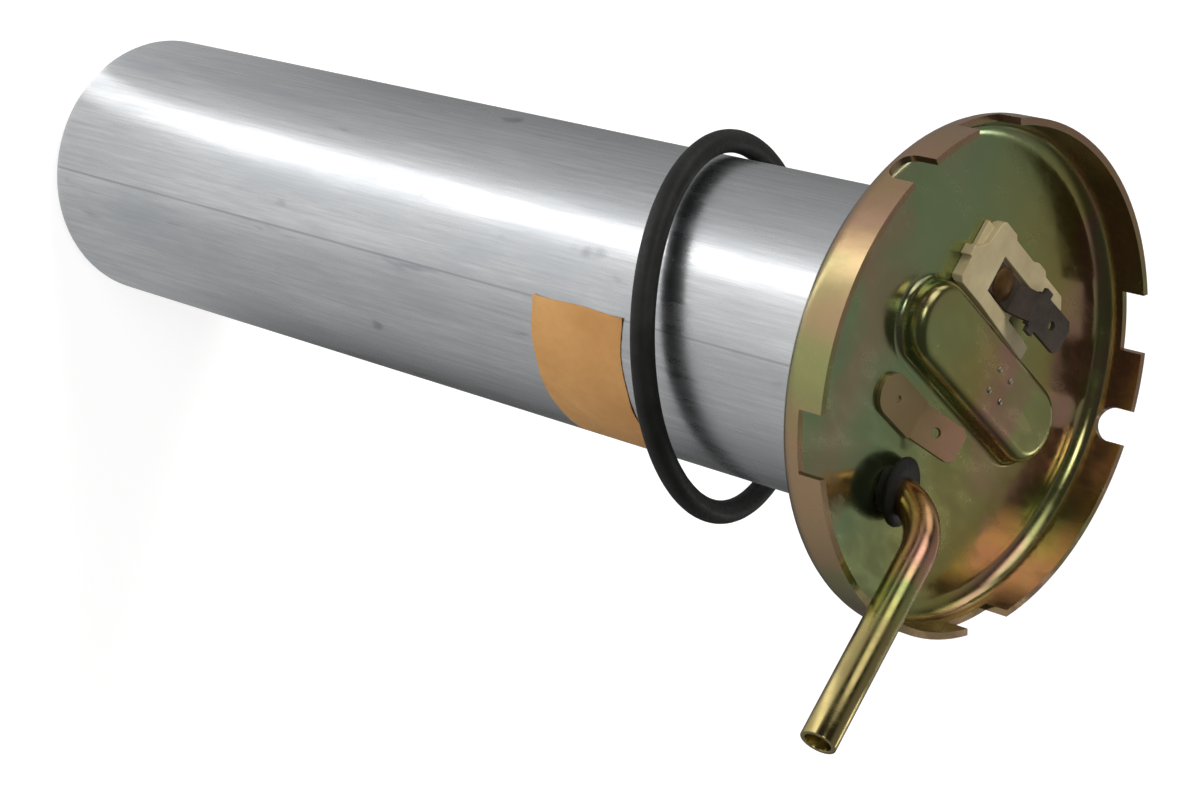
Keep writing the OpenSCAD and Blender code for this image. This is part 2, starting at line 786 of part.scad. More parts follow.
// The bracket welded under the pad, which carries the gauge
module carrier_bracket() {
  web_z = pad_top - flange_t - cut_slack - bracket_t / 2;
  foot_z = upper_top + bracket_t / 2;
  leg = bracket_leg - bracket_t / 2;
  toe = bracket_leg + bracket_foot - bracket_t / 2;
  color([0.66, 0.62, 0.5])
    translate([bracket_x, pad_y, 0])
      difference() {
        folded_strip([[-toe, foot_z], [-leg, foot_z], [-leg, web_z], [leg, web_z],
                      [leg, foot_z], [toe, foot_z]], bracket_t, bracket_w);
        for (side = [-1, 1])
          translate([side * bracket_rivet_x, 0, foot_z - over])
            cylinder(h = 2 * over, d = small_rivet_d);
      }
}

// Where the bracket's rivets stand
module at_bracket_rivets() {
  for (side = [-1, 1])
    translate([bracket_x + side * bracket_rivet_x, pad_y, 0])
      children();
}

// The rivets between bracket and upper insulator
module bracket_rivets() {
  color([0.6, 0.58, 0.52])
    at_bracket_rivets()
      flat_rivet(small_rivet_d / 2, small_rivet_d * 0.9, 0.8, upper_bottom, upper_top + bracket_t);
}

// Where the spring leaves' rivets stand
module at_leaf_rivets() {
  for (side = [-1, 1])
    translate([-small_rivet_d / 2, side * leaf_foot_y, 0])
      children();
}

// A plain insulator disc with the holes that both discs share
module insulator_disc(z) {
  translate([0, 0, z])
    difference() {
      cylinder(h = disc_t, r = disc_r);
      translate([0, 0, -over])
        cylinder(h = disc_t + 2 * over, d = rod_d + hole_gap);
      translate([pipe_x, pipe_y, -over]) {
        cylinder(h = disc_t + 2 * over, d = pipe_slot_w);
        translate([-pipe_slot_w / 2, -disc_r, 0])
          cube([pipe_slot_w, disc_r, disc_t + 2 * over]);
      }
      for (azimuth = [28, 152, 208, 332])
        rotate([0, 0, azimuth])
          translate([disc_r - 5, 0, -over])
            cylinder(h = disc_t + 2 * over, d = 4);
    }
}

// The upper insulator, hung from the bracket
module upper_insulator() {
  color([0.42, 0.26, 0.15])
    difference() {
      insulator_disc(upper_bottom);
      for (side = [-1, 1])
        translate([0, side * wire_offset, upper_bottom - over])
          cylinder(h = disc_t + 2 * over, d = 4 * wire_d, $fn = 24);
      translate([0, 0, upper_bottom - over]) {
        at_bracket_rivets()
          cylinder(h = disc_t + 2 * over, d = small_rivet_d, $fn = 32);
        at_leaf_rivets()
          cylinder(h = disc_t + 2 * over, d = small_rivet_d, $fn = 32);
      }
    }
}

// The lower insulator, at the rod's foot
module lower_insulator() {
  color([0.42, 0.26, 0.15])
    difference() {
      insulator_disc(lower_bottom);
      for (side = [-1, 1])
        translate([0, side * wire_offset, lower_bottom - over])
          cylinder(h = disc_t + 2 * over, d = small_rivet_d, $fn = 32);
    }
}

// The guide rod between the insulators
module guide_rod() {
  rod_low = lower_bottom - nut_h - rod_tail;
  rod_high = upper_top + nut_h + rod_tail;
  color([0.7, 0.71, 0.73])
    translate([0, 0, rod_low])
      cylinder(h = rod_high - rod_low, d = rod_d);
}

// One hexagon nut standing on z
module rod_nut(z) {
  translate([0, 0, z])
    difference() {
      intersection() {
        cylinder(h = nut_h, r = nut_r, $fn = 6);
        cylinder(h = nut_h, r1 = nut_r * 1.35, r2 = nut_af / 2);
        cylinder(h = nut_h, r1 = nut_af / 2, r2 = nut_r * 1.35);
      }
      translate([0, 0, -over])
        cylinder(h = nut_h + 2 * over, d = rod_d);
    }
}

// The four nuts that clamp the insulators on the rod
module rod_nuts() {
  color([0.68, 0.64, 0.5])
    for (z = [upper_top, upper_bottom - nut_h, lower_top, lower_bottom - nut_h])
      rod_nut(z);
}

// A gauge wire on the side given, from its eyelet up to its spring leaf
module gauge_wire(side) {
  low = lower_top + eyelet_head;
  translate([0, side * wire_offset, low])
    cylinder(h = leaf_arm_z - low, d = wire_d, $fn = 16);
}

// The resistance wire on the signal side
module resistance_wire() {
  color([0.6, 0.58, 0.55])
    gauge_wire(1);
}

// The return wire on the ground side
module return_wire() {
  color([0.75, 0.6, 0.4])
    gauge_wire(-1);
}

// A spring leaf that keeps a wire taut: foot on the insulator, arm over the wire
module spring_leaf() {
  foot_z = upper_top + leaf_t / 2;
  arm_z = leaf_arm_z + leaf_t / 2;
  difference() {
    rotate([0, 0, 90])
      folded_strip([[leaf_foot_y + leaf_foot_l / 2, foot_z], [leaf_foot_y - leaf_foot_l / 2, foot_z],
                    [wire_offset + 1.4, arm_z], [wire_offset - 1.2, arm_z]], leaf_t, leaf_w);
    translate([-small_rivet_d / 2, leaf_foot_y, upper_top - over])
      cylinder(h = 2 * over, d = small_rivet_d, $fn = 32);
  }
}

// The leaf on the signal side
module signal_leaf() {
  color([0.78, 0.6, 0.32])
    spring_leaf();
}

// The leaf on the ground side, with a tail that is soldered to the bracket
module ground_leaf() {
  tail_w = 2.4;
  tail_x = bracket_x + bracket_leg + 1;
  tail_y = -leaf_foot_y;
  color([0.78, 0.6, 0.32]) {
    mirror([0, 1, 0])
      spring_leaf();
    translate([leaf_w / 2, tail_y, upper_top])
      cube([tail_x - leaf_w / 2, tail_w, leaf_t]);
    translate([tail_x - tail_w, tail_y, upper_top])
      cube([tail_w, pad_y - bracket_w / 2 - tail_y, leaf_t]);
  }
}

// The small rivets that hold the leaves
module leaf_rivets() {
  color([0.72, 0.58, 0.34])
    at_leaf_rivets()
      flat_rivet(small_rivet_d / 2, small_rivet_d * 0.75, 0.6, upper_bottom, upper_top + leaf_t);
}

// The eyelets that hold the wires' lower ends
module wire_eyelets() {
  color([0.78, 0.62, 0.34])
    for (side = [-1, 1])
      translate([0, side * wire_offset, 0])
        flat_rivet(small_rivet_d / 2, small_rivet_d * 0.8, eyelet_head, lower_bottom, lower_top);
}

// The rubber stop under the upper insulator's nut
module upper_stop() {
  color([0.08, 0.08, 0.09])
    ring_disc(buffer_d / 2, rod_d / 2, upper_stop_z, buffer_t);
}

// The rubber stop on the lower insulator's nut
module lower_stop() {
  color([0.08, 0.08, 0.09])
    ring_disc(buffer_d / 2, rod_d / 2, lower_top + nut_h, buffer_t);
}

// The foam float, bored for its bushes and for the wires
module float_body() {
  r = float_d / 2;
  color([0.78, 0.74, 0.62])
    difference() {
      translate([0, 0, float_bottom])
        rotate_extrude() {
          square([r - float_edge_r, float_h]);
          translate([0, float_edge_r])
            square([r, float_h - 2 * float_edge_r]);
          for (z = [float_edge_r, float_h - float_edge_r])
            translate([r - float_edge_r, z])
              circle(r = float_edge_r);
        }
      translate([0, 0, float_bottom - over])
        cylinder(h = float_h + 2 * over, r = bush_outer_r);
      for (side = [-1, 1])
        translate([0, side * wire_offset, float_bottom - over])
          cylinder(h = float_h + 2 * over, d = wire_hole_d);
      at_bridge_rivets()
        translate([0, 0, float_top - 6])
          cylinder(h = 6 + over, d = small_rivet_d / 2, $fn = 24);
    }
}

// The two flanged bushes that run on the rod
module float_bushes() {
  length = float_h / 3;
  color([0.9, 0.9, 0.88])
    for (end = [0, 1])
      translate([0, 0, end == 0 ? float_bottom : float_top])
        mirror([0, 0, end]) {
          ring_disc(bush_outer_r, bush_r, 0, length);
          ring_disc(bush_flange_d / 2, bush_r, -bush_flange_t, bush_flange_t);
        }
}

// Where the bridge's rivets stand
module at_bridge_rivets() {
  for (side = [-1, 1])
    translate([side * (bush_flange_d / 2 + 1.6), 0, 0])
      children();
}

// One wiper finger, rising from the bridge's end and leaning on the wire
module wiper() {
  root_y = wire_offset + wire_hole_d / 2 + 1;
  tip_y = wire_offset + wire_d / 2 + wiper_gap + leaf_t / 2;
  rotate([0, 0, 90])
    folded_strip([[root_y, leaf_t / 2], [root_y, wiper_h - leaf_t], [tip_y, wiper_h - leaf_t / 2]],
                 leaf_t, wiper_w);
}

// The bronze bridge on the float that joins the two wires
module contact_bridge() {
  color([0.8, 0.62, 0.34])
    translate([0, 0, float_top]) {
      linear_extrude(height = leaf_t)
        difference() {
          union() {
            circle(r = bridge_r);
            for (side = [-1, 1])
              translate([0, side * wire_offset])
                circle(d = wire_hole_d + 3);
          }
          circle(d = bush_flange_d + 2 * hole_gap);
          for (side = [-1, 1])
            translate([0, side * wire_offset])
              circle(d = wire_hole_d - 1);
          at_bridge_rivets()
            circle(d = small_rivet_d / 2, $fn = 24);
        }
      for (flip = [0, 1])
        mirror([0, flip, 0])
          wiper();
    }
}

// The small rivets that pin the bridge to the float
module bridge_rivets() {
  color([0.72, 0.58, 0.34])
    at_bridge_rivets()
      translate([0, 0, float_top - 6]) {
        cylinder(h = 6 + leaf_t, d = small_rivet_d / 2, $fn = 24);
        translate([0, 0, 6 + leaf_t])
          cylinder(h = 0.5, d1 = small_rivet_d, d2 = small_rivet_d * 0.6, $fn = 24);
      }
}

flange_plate();
sender_tube();
outlet_pipe();
pipe_collar();
pickup_strainer();
terminal_block();
terminal_rivet();
signal_spade();
inner_washer();
contact_strip();
ground_tab();
sealing_ring();
paper_label();
carrier_bracket();
bracket_rivets();
upper_insulator();
lower_insulator();
guide_rod();
rod_nuts();
resistance_wire();
return_wire();
signal_leaf();
ground_leaf();
leaf_rivets();
wire_eyelets();
upper_stop();
lower_stop();
float_body();
float_bushes();
contact_bridge();
bridge_rivets();
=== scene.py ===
# %% [markdown]
# # A fuel tank sending unit
# A long aluminium tube holds a float on a rod. A pressed flange in yellow zinc closes it.
# A bent pipe, two push-on blades and a loose rubber ring finish the real thing.
# The CAD model gives every place and size, and this lesson gives it its looks.
# The frame comes first, and the box of the CAD model is kept, to set the floor just under it.

# %% Load the frame
import json
import math

import bmesh
import bpy
from mathutils import Matrix, Vector


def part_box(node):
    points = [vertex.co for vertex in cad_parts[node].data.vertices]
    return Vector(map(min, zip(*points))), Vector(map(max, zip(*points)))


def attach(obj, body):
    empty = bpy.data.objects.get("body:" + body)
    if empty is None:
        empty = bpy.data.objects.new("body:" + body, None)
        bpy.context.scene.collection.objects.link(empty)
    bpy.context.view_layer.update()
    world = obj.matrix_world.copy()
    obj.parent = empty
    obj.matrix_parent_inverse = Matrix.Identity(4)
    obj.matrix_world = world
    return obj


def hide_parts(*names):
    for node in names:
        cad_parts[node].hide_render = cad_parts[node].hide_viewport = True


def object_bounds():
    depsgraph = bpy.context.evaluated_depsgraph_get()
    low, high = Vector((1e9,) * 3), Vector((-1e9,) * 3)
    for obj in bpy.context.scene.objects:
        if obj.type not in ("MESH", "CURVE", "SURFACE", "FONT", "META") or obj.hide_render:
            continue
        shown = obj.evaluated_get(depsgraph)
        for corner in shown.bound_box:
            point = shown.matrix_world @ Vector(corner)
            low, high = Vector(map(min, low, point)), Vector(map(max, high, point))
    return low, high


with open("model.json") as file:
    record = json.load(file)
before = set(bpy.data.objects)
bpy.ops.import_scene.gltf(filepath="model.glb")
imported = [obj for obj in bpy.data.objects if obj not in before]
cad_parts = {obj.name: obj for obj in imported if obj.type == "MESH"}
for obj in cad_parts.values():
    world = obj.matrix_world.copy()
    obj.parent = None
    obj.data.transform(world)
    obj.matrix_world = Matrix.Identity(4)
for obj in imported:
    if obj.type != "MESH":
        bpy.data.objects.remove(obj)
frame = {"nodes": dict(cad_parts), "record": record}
cad_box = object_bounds()
MM = 0.001
print("CAD box in metres:", [round(x, 4) for corner in cad_box for x in corner])

# %% [markdown]
# ## The camera
# The camera stands where the photographer stood, and is rolled nearly on its side.
# Its three axes are written out as a matrix, because a rolled view has no easy angles.

# %% Camera
camera_right = Vector((0.52016, 0.47943, 0.70681))
camera_up = Vector((-0.49032, 0.84524, -0.21249))
camera_ahead = Vector((0.69930, 0.23604, -0.67474))
camera_place = Vector((-0.34926, -0.13951, 0.27148))

SENSOR_MM, LENS_MM = 36.0, 84.37

camera_data = bpy.data.cameras.new("view_of_the_photograph")
camera_data.sensor_width = SENSOR_MM
camera_data.lens = LENS_MM
camera = bpy.data.objects.new("view_of_the_photograph", camera_data)
bpy.context.scene.collection.objects.link(camera)
turn = Matrix((camera_right, camera_up, -camera_ahead)).transposed().to_4x4()
camera.matrix_world = Matrix.Translation(camera_place) @ turn
bpy.context.scene.camera = camera
bpy.context.scene.view_settings.view_transform = "Standard"
print("camera lens:", LENS_MM, "mm on a sensor of", SENSOR_MM, "mm")

# %% [markdown]
# ## Small helpers for shader nodes
# Every finish below is a little tree of nodes. A few short functions keep each tree readable:
# one starts a material, and the others add a noise, a colour ramp, a blend or a bump.
# Colours are written as they look on a screen, from 0 to 255, and turned into linear light.

# %% Node helpers
def screen(red, green, blue):
    """A screen colour as linear light."""
    def linear(value):
        value /= 255.0
        return value / 12.92 if value <= 0.04045 else ((value + 0.055) / 1.055) ** 2.4
    return (linear(red), linear(green), linear(blue), 1.0)


def add(tree, kind, **settings):
    """A node of that kind, with its plain settings."""
    node = tree.nodes.new(kind)
    for key, value in settings.items():
        setattr(node, key, value)
    return node


def feed(tree, socket, value):
    """Links an output to a socket, or sets the socket to a plain value."""
    if isinstance(value, bpy.types.NodeSocket):
        tree.links.new(value, socket)
    else:
        socket.default_value = value


def new_finish(name, roughness=0.4, metallic=0.0, **sockets):
    """A material with one Principled shader; plain values go straight on its sockets."""
    material = bpy.data.materials.new(name)
    material.use_nodes = True
    tree = material.node_tree
    shader = tree.nodes["Principled BSDF"]
    shader.inputs["Roughness"].default_value = roughness
    shader.inputs["Metallic"].default_value = metallic
    for key, value in sockets.items():
        shader.inputs[key.replace("_", " ")].default_value = value
    return material, tree, shader


def place(tree, stretch=(1.0, 1.0, 1.0), shift=(0.0, 0.0, 0.0)):
    """Object coordinates, stretched so that a pattern can run along one axis."""
    here = add(tree, "ShaderNodeTexCoord").outputs["Object"]
    mapping = add(tree, "ShaderNodeMapping")
    feed(tree, mapping.inputs["Vector"], here)
    mapping.inputs["Scale"].default_value = stretch
    mapping.inputs["Location"].default_value = shift
    return mapping.outputs["Vector"]


def noise(tree, where, scale, detail=3.0, roughness=0.55, distortion=0.0):
    """A soft noise from 0 to 1. Scale counts blobs per metre."""
    node = add(tree, "ShaderNodeTexNoise")
    feed(tree, node.inputs["Vector"], where)
    node.inputs["Scale"].default_value = scale
    node.inputs["Detail"].default_value = detail
    node.inputs["Roughness"].default_value = roughness
    node.inputs["Distortion"].default_value = distortion
    return node.outputs["Fac"]


def ramp(tree, amount, *stops, ease="LINEAR"):
    """A colour ramp through (position, colour) stops."""
    node = add(tree, "ShaderNodeValToRGB")
    node.color_ramp.interpolation = ease
    elements = node.color_ramp.elements
    while len(elements) < len(stops):
        elements.new(0.5)
    for element, (position, colour) in zip(elements, stops):
        element.position = position
        element.color = colour if isinstance(colour, tuple) else (colour, colour, colour, 1.0)
    feed(tree, node.inputs["Fac"], amount)
    return node.outputs["Color"]


def span(tree, amount, low, high, to_low=0.0, to_high=1.0):
    """Maps low..high of a value to another range, eased at both ends."""
    node = add(tree, "ShaderNodeMapRange", interpolation_type="SMOOTHSTEP")
    feed(tree, node.inputs["Value"], amount)
    limits = {"From Min": low, "From Max": high, "To Min": to_low, "To Max": to_high}
    for key, value in limits.items():
        node.inputs[key].default_value = value
    return node.outputs["Result"]


def sums(tree, kind, first, second=0.0):
    """One arithmetic step."""
    node = add(tree, "ShaderNodeMath", operation=kind)
    feed(tree, node.inputs[0], first)
    feed(tree, node.inputs[1], second)
    return node.outputs[0]


def blend(tree, share, first, second, kind="MIX"):
    """Blends two colours."""
    node = add(tree, "ShaderNodeMix", data_type="RGBA", blend_type=kind)
    feed(tree, node.inputs["Factor"], share)
    feed(tree, node.inputs["A"], first)
    feed(tree, node.inputs["B"], second)
    return node.outputs["Result"]


def bump(tree, shader, height, distance, strength=1.0, under=None):
    """Gives the shader a bump of that depth in metres, over another bump if there is one."""
    node = add(tree, "ShaderNodeBump")
    node.inputs["Strength"].default_value = strength
    node.inputs["Distance"].default_value = distance
    feed(tree, node.inputs["Height"], height)
    if under is not None:
        feed(tree, node.inputs["Normal"], under)
    feed(tree, shader.inputs["Normal"], node.outputs["Normal"])
    return node.outputs["Normal"]


def where_axes(tree):
    """The three object coordinates as separate values, in metres."""
    node = add(tree, "ShaderNodeSeparateXYZ")
    feed(tree, node.inputs[0], add(tree, "ShaderNodeTexCoord").outputs["Object"])
    return node.outputs["X"], node.outputs["Y"], node.outputs["Z"]


def from_axis(tree, x, y):
    """Distance from the tube's axis in metres."""
    x_squared, y_squared = sums(tree, "MULTIPLY", x, x), sums(tree, "MULTIPLY", y, y)
    return sums(tree, "SQRT", sums(tree, "ADD", x_squared, y_squared))


def round_axis(tree, x, y):
    """Angle round the tube's axis, from -pi to pi."""
    return sums(tree, "ARCTAN2", y, x)


print("helpers are ready; black and white as light:", screen(0, 0, 0)[0], screen(255, 255, 255)[0])

# %% [markdown]
# ## The world
# The unit is shot in a soft studio. A polished plating shows whatever it faces, so the world is
# what makes it look like metal: a dim room, a calm pale wall that the flange's flat face mirrors,
# a broad glow where the key lamp stands, and two small windows that give the sharp glints.
# The camera itself sees plain white, through the Light Path node.

# %% World
key_way = Vector((-0.42, 0.68, 0.60)).normalized()

world = bpy.data.worlds.new("soft_studio")
bpy.context.scene.world = world
world.use_nodes = True
sky = world.node_tree
sky.nodes.clear()


def towards(tree, direction):
    """How far the looked-at direction agrees with another, from -1 to 1."""
    node = add(tree, "ShaderNodeVectorMath", operation="DOT_PRODUCT")
    feed(tree, node.inputs[0], add(tree, "ShaderNodeTexCoord").outputs["Generated"])
    node.inputs[1].default_value = direction
    return node.outputs["Value"]


def glow(direction, full, none, level):
    """A soft round patch of light: full and none are angles in degrees from its middle."""
    return span(sky, towards(sky, Vector(direction).normalized()),
                math.cos(math.radians(none)), math.cos(math.radians(full)), 0.0, level)


BASE_LEVEL, LOW_BAND = 0.035, 0.42     # the dim room, and the paler band low in it
PALE_LIGHT = (1.0, 0.99, 0.97, 1.0)

patches_of_light = [
    glow((0.74, 0.30, 0.60), 18.0, 52.0, 0.19),      # the wall that the plate's flat face mirrors
    glow(key_way, 4.0, 23.0, 1.60),                  # the key lamp's soft box
    glow((-0.07, 0.98, 0.20), 3.0, 20.0, 1.15),      # the key lamp's reflector
    glow((0.90, 0.17, 0.38), 2.0, 8.0, 3.4),         # a window low on the far side
    glow((-0.62, 0.05, 0.78), 3.0, 11.0, 4.0),       # a small window above
    span(sky, towards(sky, (0.0, 0.0, 1.0)), 0.30, -0.10, 0.0, LOW_BAND),
]
studio_level = BASE_LEVEL
for patch in patches_of_light:
    studio_level = sums(sky, "ADD", patch, studio_level)
seen = add(sky, "ShaderNodeLightPath").outputs["Is Camera Ray"]
studio = add(sky, "ShaderNodeBackground")
studio.inputs["Color"].default_value = PALE_LIGHT
feed(sky, studio.inputs["Strength"], studio_level)
plain = add(sky, "ShaderNodeBackground")
plain.inputs["Color"].default_value = (1.0, 1.0, 1.0, 1.0)
pick = add(sky, "ShaderNodeMixShader")
feed(sky, pick.inputs[0], seen)
feed(sky, pick.inputs[1], studio.outputs[0])
feed(sky, pick.inputs[2], plain.outputs[0])
feed(sky, add(sky, "ShaderNodeOutputWorld").inputs["Surface"], pick.outputs[0])

print("patches of light in the world, the low band among them:", len(patches_of_light))

# %% [markdown]
# ## Lamps
# Three big soft lamps light the matt pieces: rubber, nylon and paper. The world already gives
# the metal its reflections, so the lamps are hidden from glossy rays, or each would be doubled.

# %% Lamps
LAMP_AIM = Vector((0.0, 0.0, -0.06))


def soft_lamp(name, way, distance, size, watts, colour=(1.0, 1.0, 1.0)):
    """A round soft lamp that looks at the upper part of the unit from a direction."""
    data = bpy.data.lights.new(name, "AREA")
    data.shape = "DISK"
    data.size = size
    data.energy = watts
    data.color = colour
    lamp = bpy.data.objects.new(name, data)
    bpy.context.scene.collection.objects.link(lamp)
    way = Vector(way).normalized()
    lamp.location = LAMP_AIM + way * distance
    lamp.rotation_euler = (-way).to_track_quat("-Z", "Y").to_euler()
    lamp.visible_glossy = False
    print(name, watts, "W,", size, "m wide,", distance, "m away")


soft_lamp("key_lamp", key_way, 1.0, 0.5, 7.0, (1.0, 0.98, 0.95))
soft_lamp("top_lamp", (-0.30, -0.25, 0.90), 1.1, 0.9, 3.4)
soft_lamp("front_lamp", (-0.85, -0.40, 0.30), 1.2, 0.9, 5.0)

# %% [markdown]
# ## The floor
# The unit stands on its closed end on a plain pale floor, which is white where no shadow falls
# and keeps the object's shadow. A drawn tube mirrors the floor round its foot, so for glossy
# rays the floor carries the studio's broad cards: one bright strip and a darker far side.

# %% Floor
REACH, FOOT_GAP = 6.0, 0.0001          # metres: half the floor's side, and its gap to the unit
floor_z = cad_box[0].z - FOOT_GAP
floor_mesh = bpy.data.meshes.new("floor")
corners = [(-REACH, -REACH), (REACH, -REACH), (REACH, REACH), (-REACH, REACH)]
floor_mesh.from_pydata([(x, y, floor_z) for x, y in corners], [], [(0, 1, 2, 3)])
floor = bpy.data.objects.new("floor", floor_mesh)
bpy.context.scene.collection.objects.link(floor)

floor_paint = bpy.data.materials.new("pale_floor")
floor_paint.use_nodes = True
paint = floor_paint.node_tree
paint.nodes.clear()
matt = add(paint, "ShaderNodeBsdfDiffuse")
matt.inputs["Color"].default_value = (0.55, 0.55, 0.55, 1.0)
floor_x, floor_y, _ = where_axes(paint)
away = from_axis(paint, floor_x, floor_y)
lift = add(paint, "ShaderNodeEmission")
feed(paint, lift.inputs["Strength"], span(paint, away, 0.35, 1.3, 0.72, 1.05))
pale = add(paint, "ShaderNodeAddShader")
feed(paint, pale.inputs[0], matt.outputs[0])
feed(paint, pale.inputs[1], lift.outputs[0])

FULL_TURN, FIRST_CARD = 2.0 * math.pi, math.radians(18.65)
bearing = sums(paint, "ADD", round_axis(paint, floor_x, floor_y), FULL_TURN - FIRST_CARD)
share = sums(paint, "DIVIDE", sums(paint, "MODULO", bearing, FULL_TURN), FULL_TURN)
card_stops = [                         # the share of a turn, and how bright the card is there
    (0.00, 0.12), (0.16, 0.25), (0.29, 0.40), (0.35, 0.56), (0.388, 0.86), (0.404, 2.20),
    (0.428, 2.20), (0.450, 0.92), (0.49, 0.76), (0.555, 0.68), (0.605, 0.46), (0.69, 0.40),
    (0.745, 0.33), (0.81, 0.20), (0.89, 0.08), (1.00, 0.12)]
cards = ramp(paint, share, *card_stops)
mirror_view = add(paint, "ShaderNodeEmission")
near_foot = span(paint, away, 0.035, 0.085, 0.50, 0.0)
FOOT_GREY = (0.47, 0.475, 0.48, 1.0)
feed(paint, mirror_view.inputs["Color"], blend(paint, near_foot, cards, FOOT_GREY))
floor_pick = add(paint, "ShaderNodeMixShader")
path = add(paint, "ShaderNodeLightPath")
feed(paint, floor_pick.inputs[0], path.outputs["Is Glossy Ray"])
feed(paint, floor_pick.inputs[1], pale.outputs[0])
feed(paint, floor_pick.inputs[2], mirror_view.outputs[0])
lit_pick = add(paint, "ShaderNodeMixShader")
feed(paint, lit_pick.inputs[0], path.outputs["Is Diffuse Ray"])
feed(paint, lit_pick.inputs[1], floor_pick.outputs[0])
feed(paint, lit_pick.inputs[2], matt.outputs[0])
feed(paint, add(paint, "ShaderNodeOutputMaterial").inputs["Surface"], lit_pick.outputs[0])
floor_mesh.materials.append(floor_paint)
print("floor at", round(floor_z, 4), "m, with", len(card_stops), "stops of grey round it")

# %% [markdown]
# ## Yellow zinc
# Zinc plating with a yellow chromate film shows soft patches of teal, olive, gold and pink,
# like oil on water, because the film's thickness wanders. The thickness is the sum of a slow
# change across the part, a broad noise and a small one, and one colour ramp turns it to a hue.
# Fine specks and smears dull the gloss, as handling does.

# %% Yellow zinc
FILM = {
    "teal": screen(146, 174, 170), "green": screen(160, 182, 134), "olive": screen(176, 180, 116),
    "gold": screen(186, 170, 100), "blush": screen(200, 154, 132), "brown": screen(172, 150, 108),
}


def film_of(tree, lean, low, high, drift=0.5, broad=30.0, small=110.0):
    """Film thickness from 0 to 1: a lean across the part, plus wandering."""
    here = place(tree)
    slope = add(tree, "ShaderNodeVectorMath", operation="DOT_PRODUCT")
    feed(tree, slope.inputs[0], here)
    slope.inputs[1].default_value = lean
    steady = span(tree, slope.outputs["Value"], low, high)
    wander = sums(tree, "SUBTRACT", noise(tree, here, broad, 2.0, 0.5, 0.5), 0.5)
    ripple = sums(tree, "SUBTRACT", noise(tree, here, small, 3.0, 0.6), 0.5)
    thick = sums(tree, "ADD", steady, sums(tree, "MULTIPLY", wander, drift))
    return sums(tree, "ADD", thick, sums(tree, "MULTIPLY", ripple, drift * 0.35))


def plated(name, gloss=0.17):
    """A metal material with the smears, specks and soft waves of a plated pressing."""
    material, tree, shader = new_finish(name, roughness=gloss, metallic=1.0)
    where = place(tree)
    speck = noise(tree, where, 1100.0, 4.0, 0.7)
    smear = noise(tree, place(tree, (1.0, 2.2, 1.0)), 130.0, 3.0, 0.6)
    feed(tree, shader.inputs["Roughness"], span(tree, smear, 0.3, 0.75, gloss - 0.05, gloss + 0.13))
    wave = bump(tree, shader, noise(tree, where, 60.0, 2.0), 0.00010, 0.30)
    bump(tree, shader, speck, 0.000008, 0.35, wave)
    return material, tree, shader, speck


print("film hues:", ", ".join(FILM))

# %% [markdown]
# ## The flange's finish
# On the flange the hue depends on the place: teal beyond one end of the pad, olive across the
# middle, gold beyond its other end, and a brown-pink blush on the bent rim. The rim is found
# by its distance from the axis. Fine scratches and small pits break it up.

# %% Flange finish
PLATE_TOP, PAD_TOP = 0.0018, 0.0052    # metres: the film changes between these heights
RIM_FROM, RIM_TO = 0.0406, 0.0424      # metres from the axis: where the rim's own hue comes in

flange_finish, tree, shader, speck = plated("yellow_zinc_flange", 0.18)
shader.inputs["Metallic"].default_value = 0.98
x, y, z = where_axes(tree)
film = film_of(tree, (0.80, 0.22, 0.0), -0.062, 0.070, 0.42, 26.0, 90.0)
film = sums(tree, "ADD", film, span(tree, z, PLATE_TOP, PAD_TOP, 0.0, 0.20))
hue = ramp(
    tree, film,
    (0.00, FILM["teal"]), (0.17, FILM["green"]), (0.24, screen(186, 172, 136)),
    (0.31, FILM["green"]), (0.52, FILM["olive"]), (0.66, FILM["gold"]), (0.72, FILM["blush"]),
    (0.78, FILM["olive"]), (1.00, screen(174, 168, 112)))
bands = noise(tree, place(tree, (1.0, 1.0, 0.4), (0.3, 0.1, 0.0)), 34.0, 2.0, 0.5, 0.8)
hue = blend(tree, span(tree, bands, 0.55, 0.72, 0.0, 0.55), hue, FILM["blush"])
rim_hue = ramp(
    tree, noise(tree, place(tree, (1.0, 1.0, 0.5)), 36.0, 2.0, 0.5, 0.6),
    (0.30, screen(160, 160, 106)), (0.44, screen(188, 156, 120)), (0.56, screen(188, 150, 126)),
    (0.68, screen(178, 152, 106)), (0.80, screen(160, 170, 116)), ease="EASE")
hue = blend(tree, span(tree, from_axis(tree, x, y), RIM_FROM, RIM_TO), hue, rim_hue)
scratch = noise(tree, place(tree, (1.0, 14.0, 1.0), (0.0, 0.0, 0.2)), 200.0, 2.0, 0.5)
hue = blend(tree, span(tree, scratch, 0.80, 0.90, 0.0, 0.22), hue, screen(206, 200, 170))
pits = noise(tree, place(tree), 520.0, 2.0, 0.5)
hue = blend(tree, span(tree, pits, 0.74, 0.82, 0.0, 0.2), hue, screen(96, 88, 62))
hue = blend(tree, span(tree, speck, 0.45, 0.75, 0.0, 0.25), hue, FILM["olive"])
feed(tree, shader.inputs["Base Color"], hue)
print("finish:", flange_finish.name)

# %% [markdown]
# ## The pipe, the small plated parts and the ground tab
# The pipe's film was stretched in the bend and shows pink there, and greenish gold along its run.
# The tab is plated steel that was bead-blasted, so it is duller and takes some matt light.

# %% Pipe and tab finishes
pipe_finish, tree, shader, _ = plated("yellow_zinc_pipe", 0.19)
film = film_of(tree, (0.0, 1.0, 0.0), -0.052, -0.024, 0.5, 60.0, 200.0)
hue = ramp(
    tree, film,
    (0.00, screen(176, 160, 106)), (0.20, screen(182, 178, 108)), (0.40, screen(170, 176, 112)),
    (0.54, screen(208, 176, 130)), (0.74, screen(222, 168, 142)), (1.00, screen(196, 154, 100)),
    ease="EASE")
feed(tree, shader.inputs["Base Color"], hue)

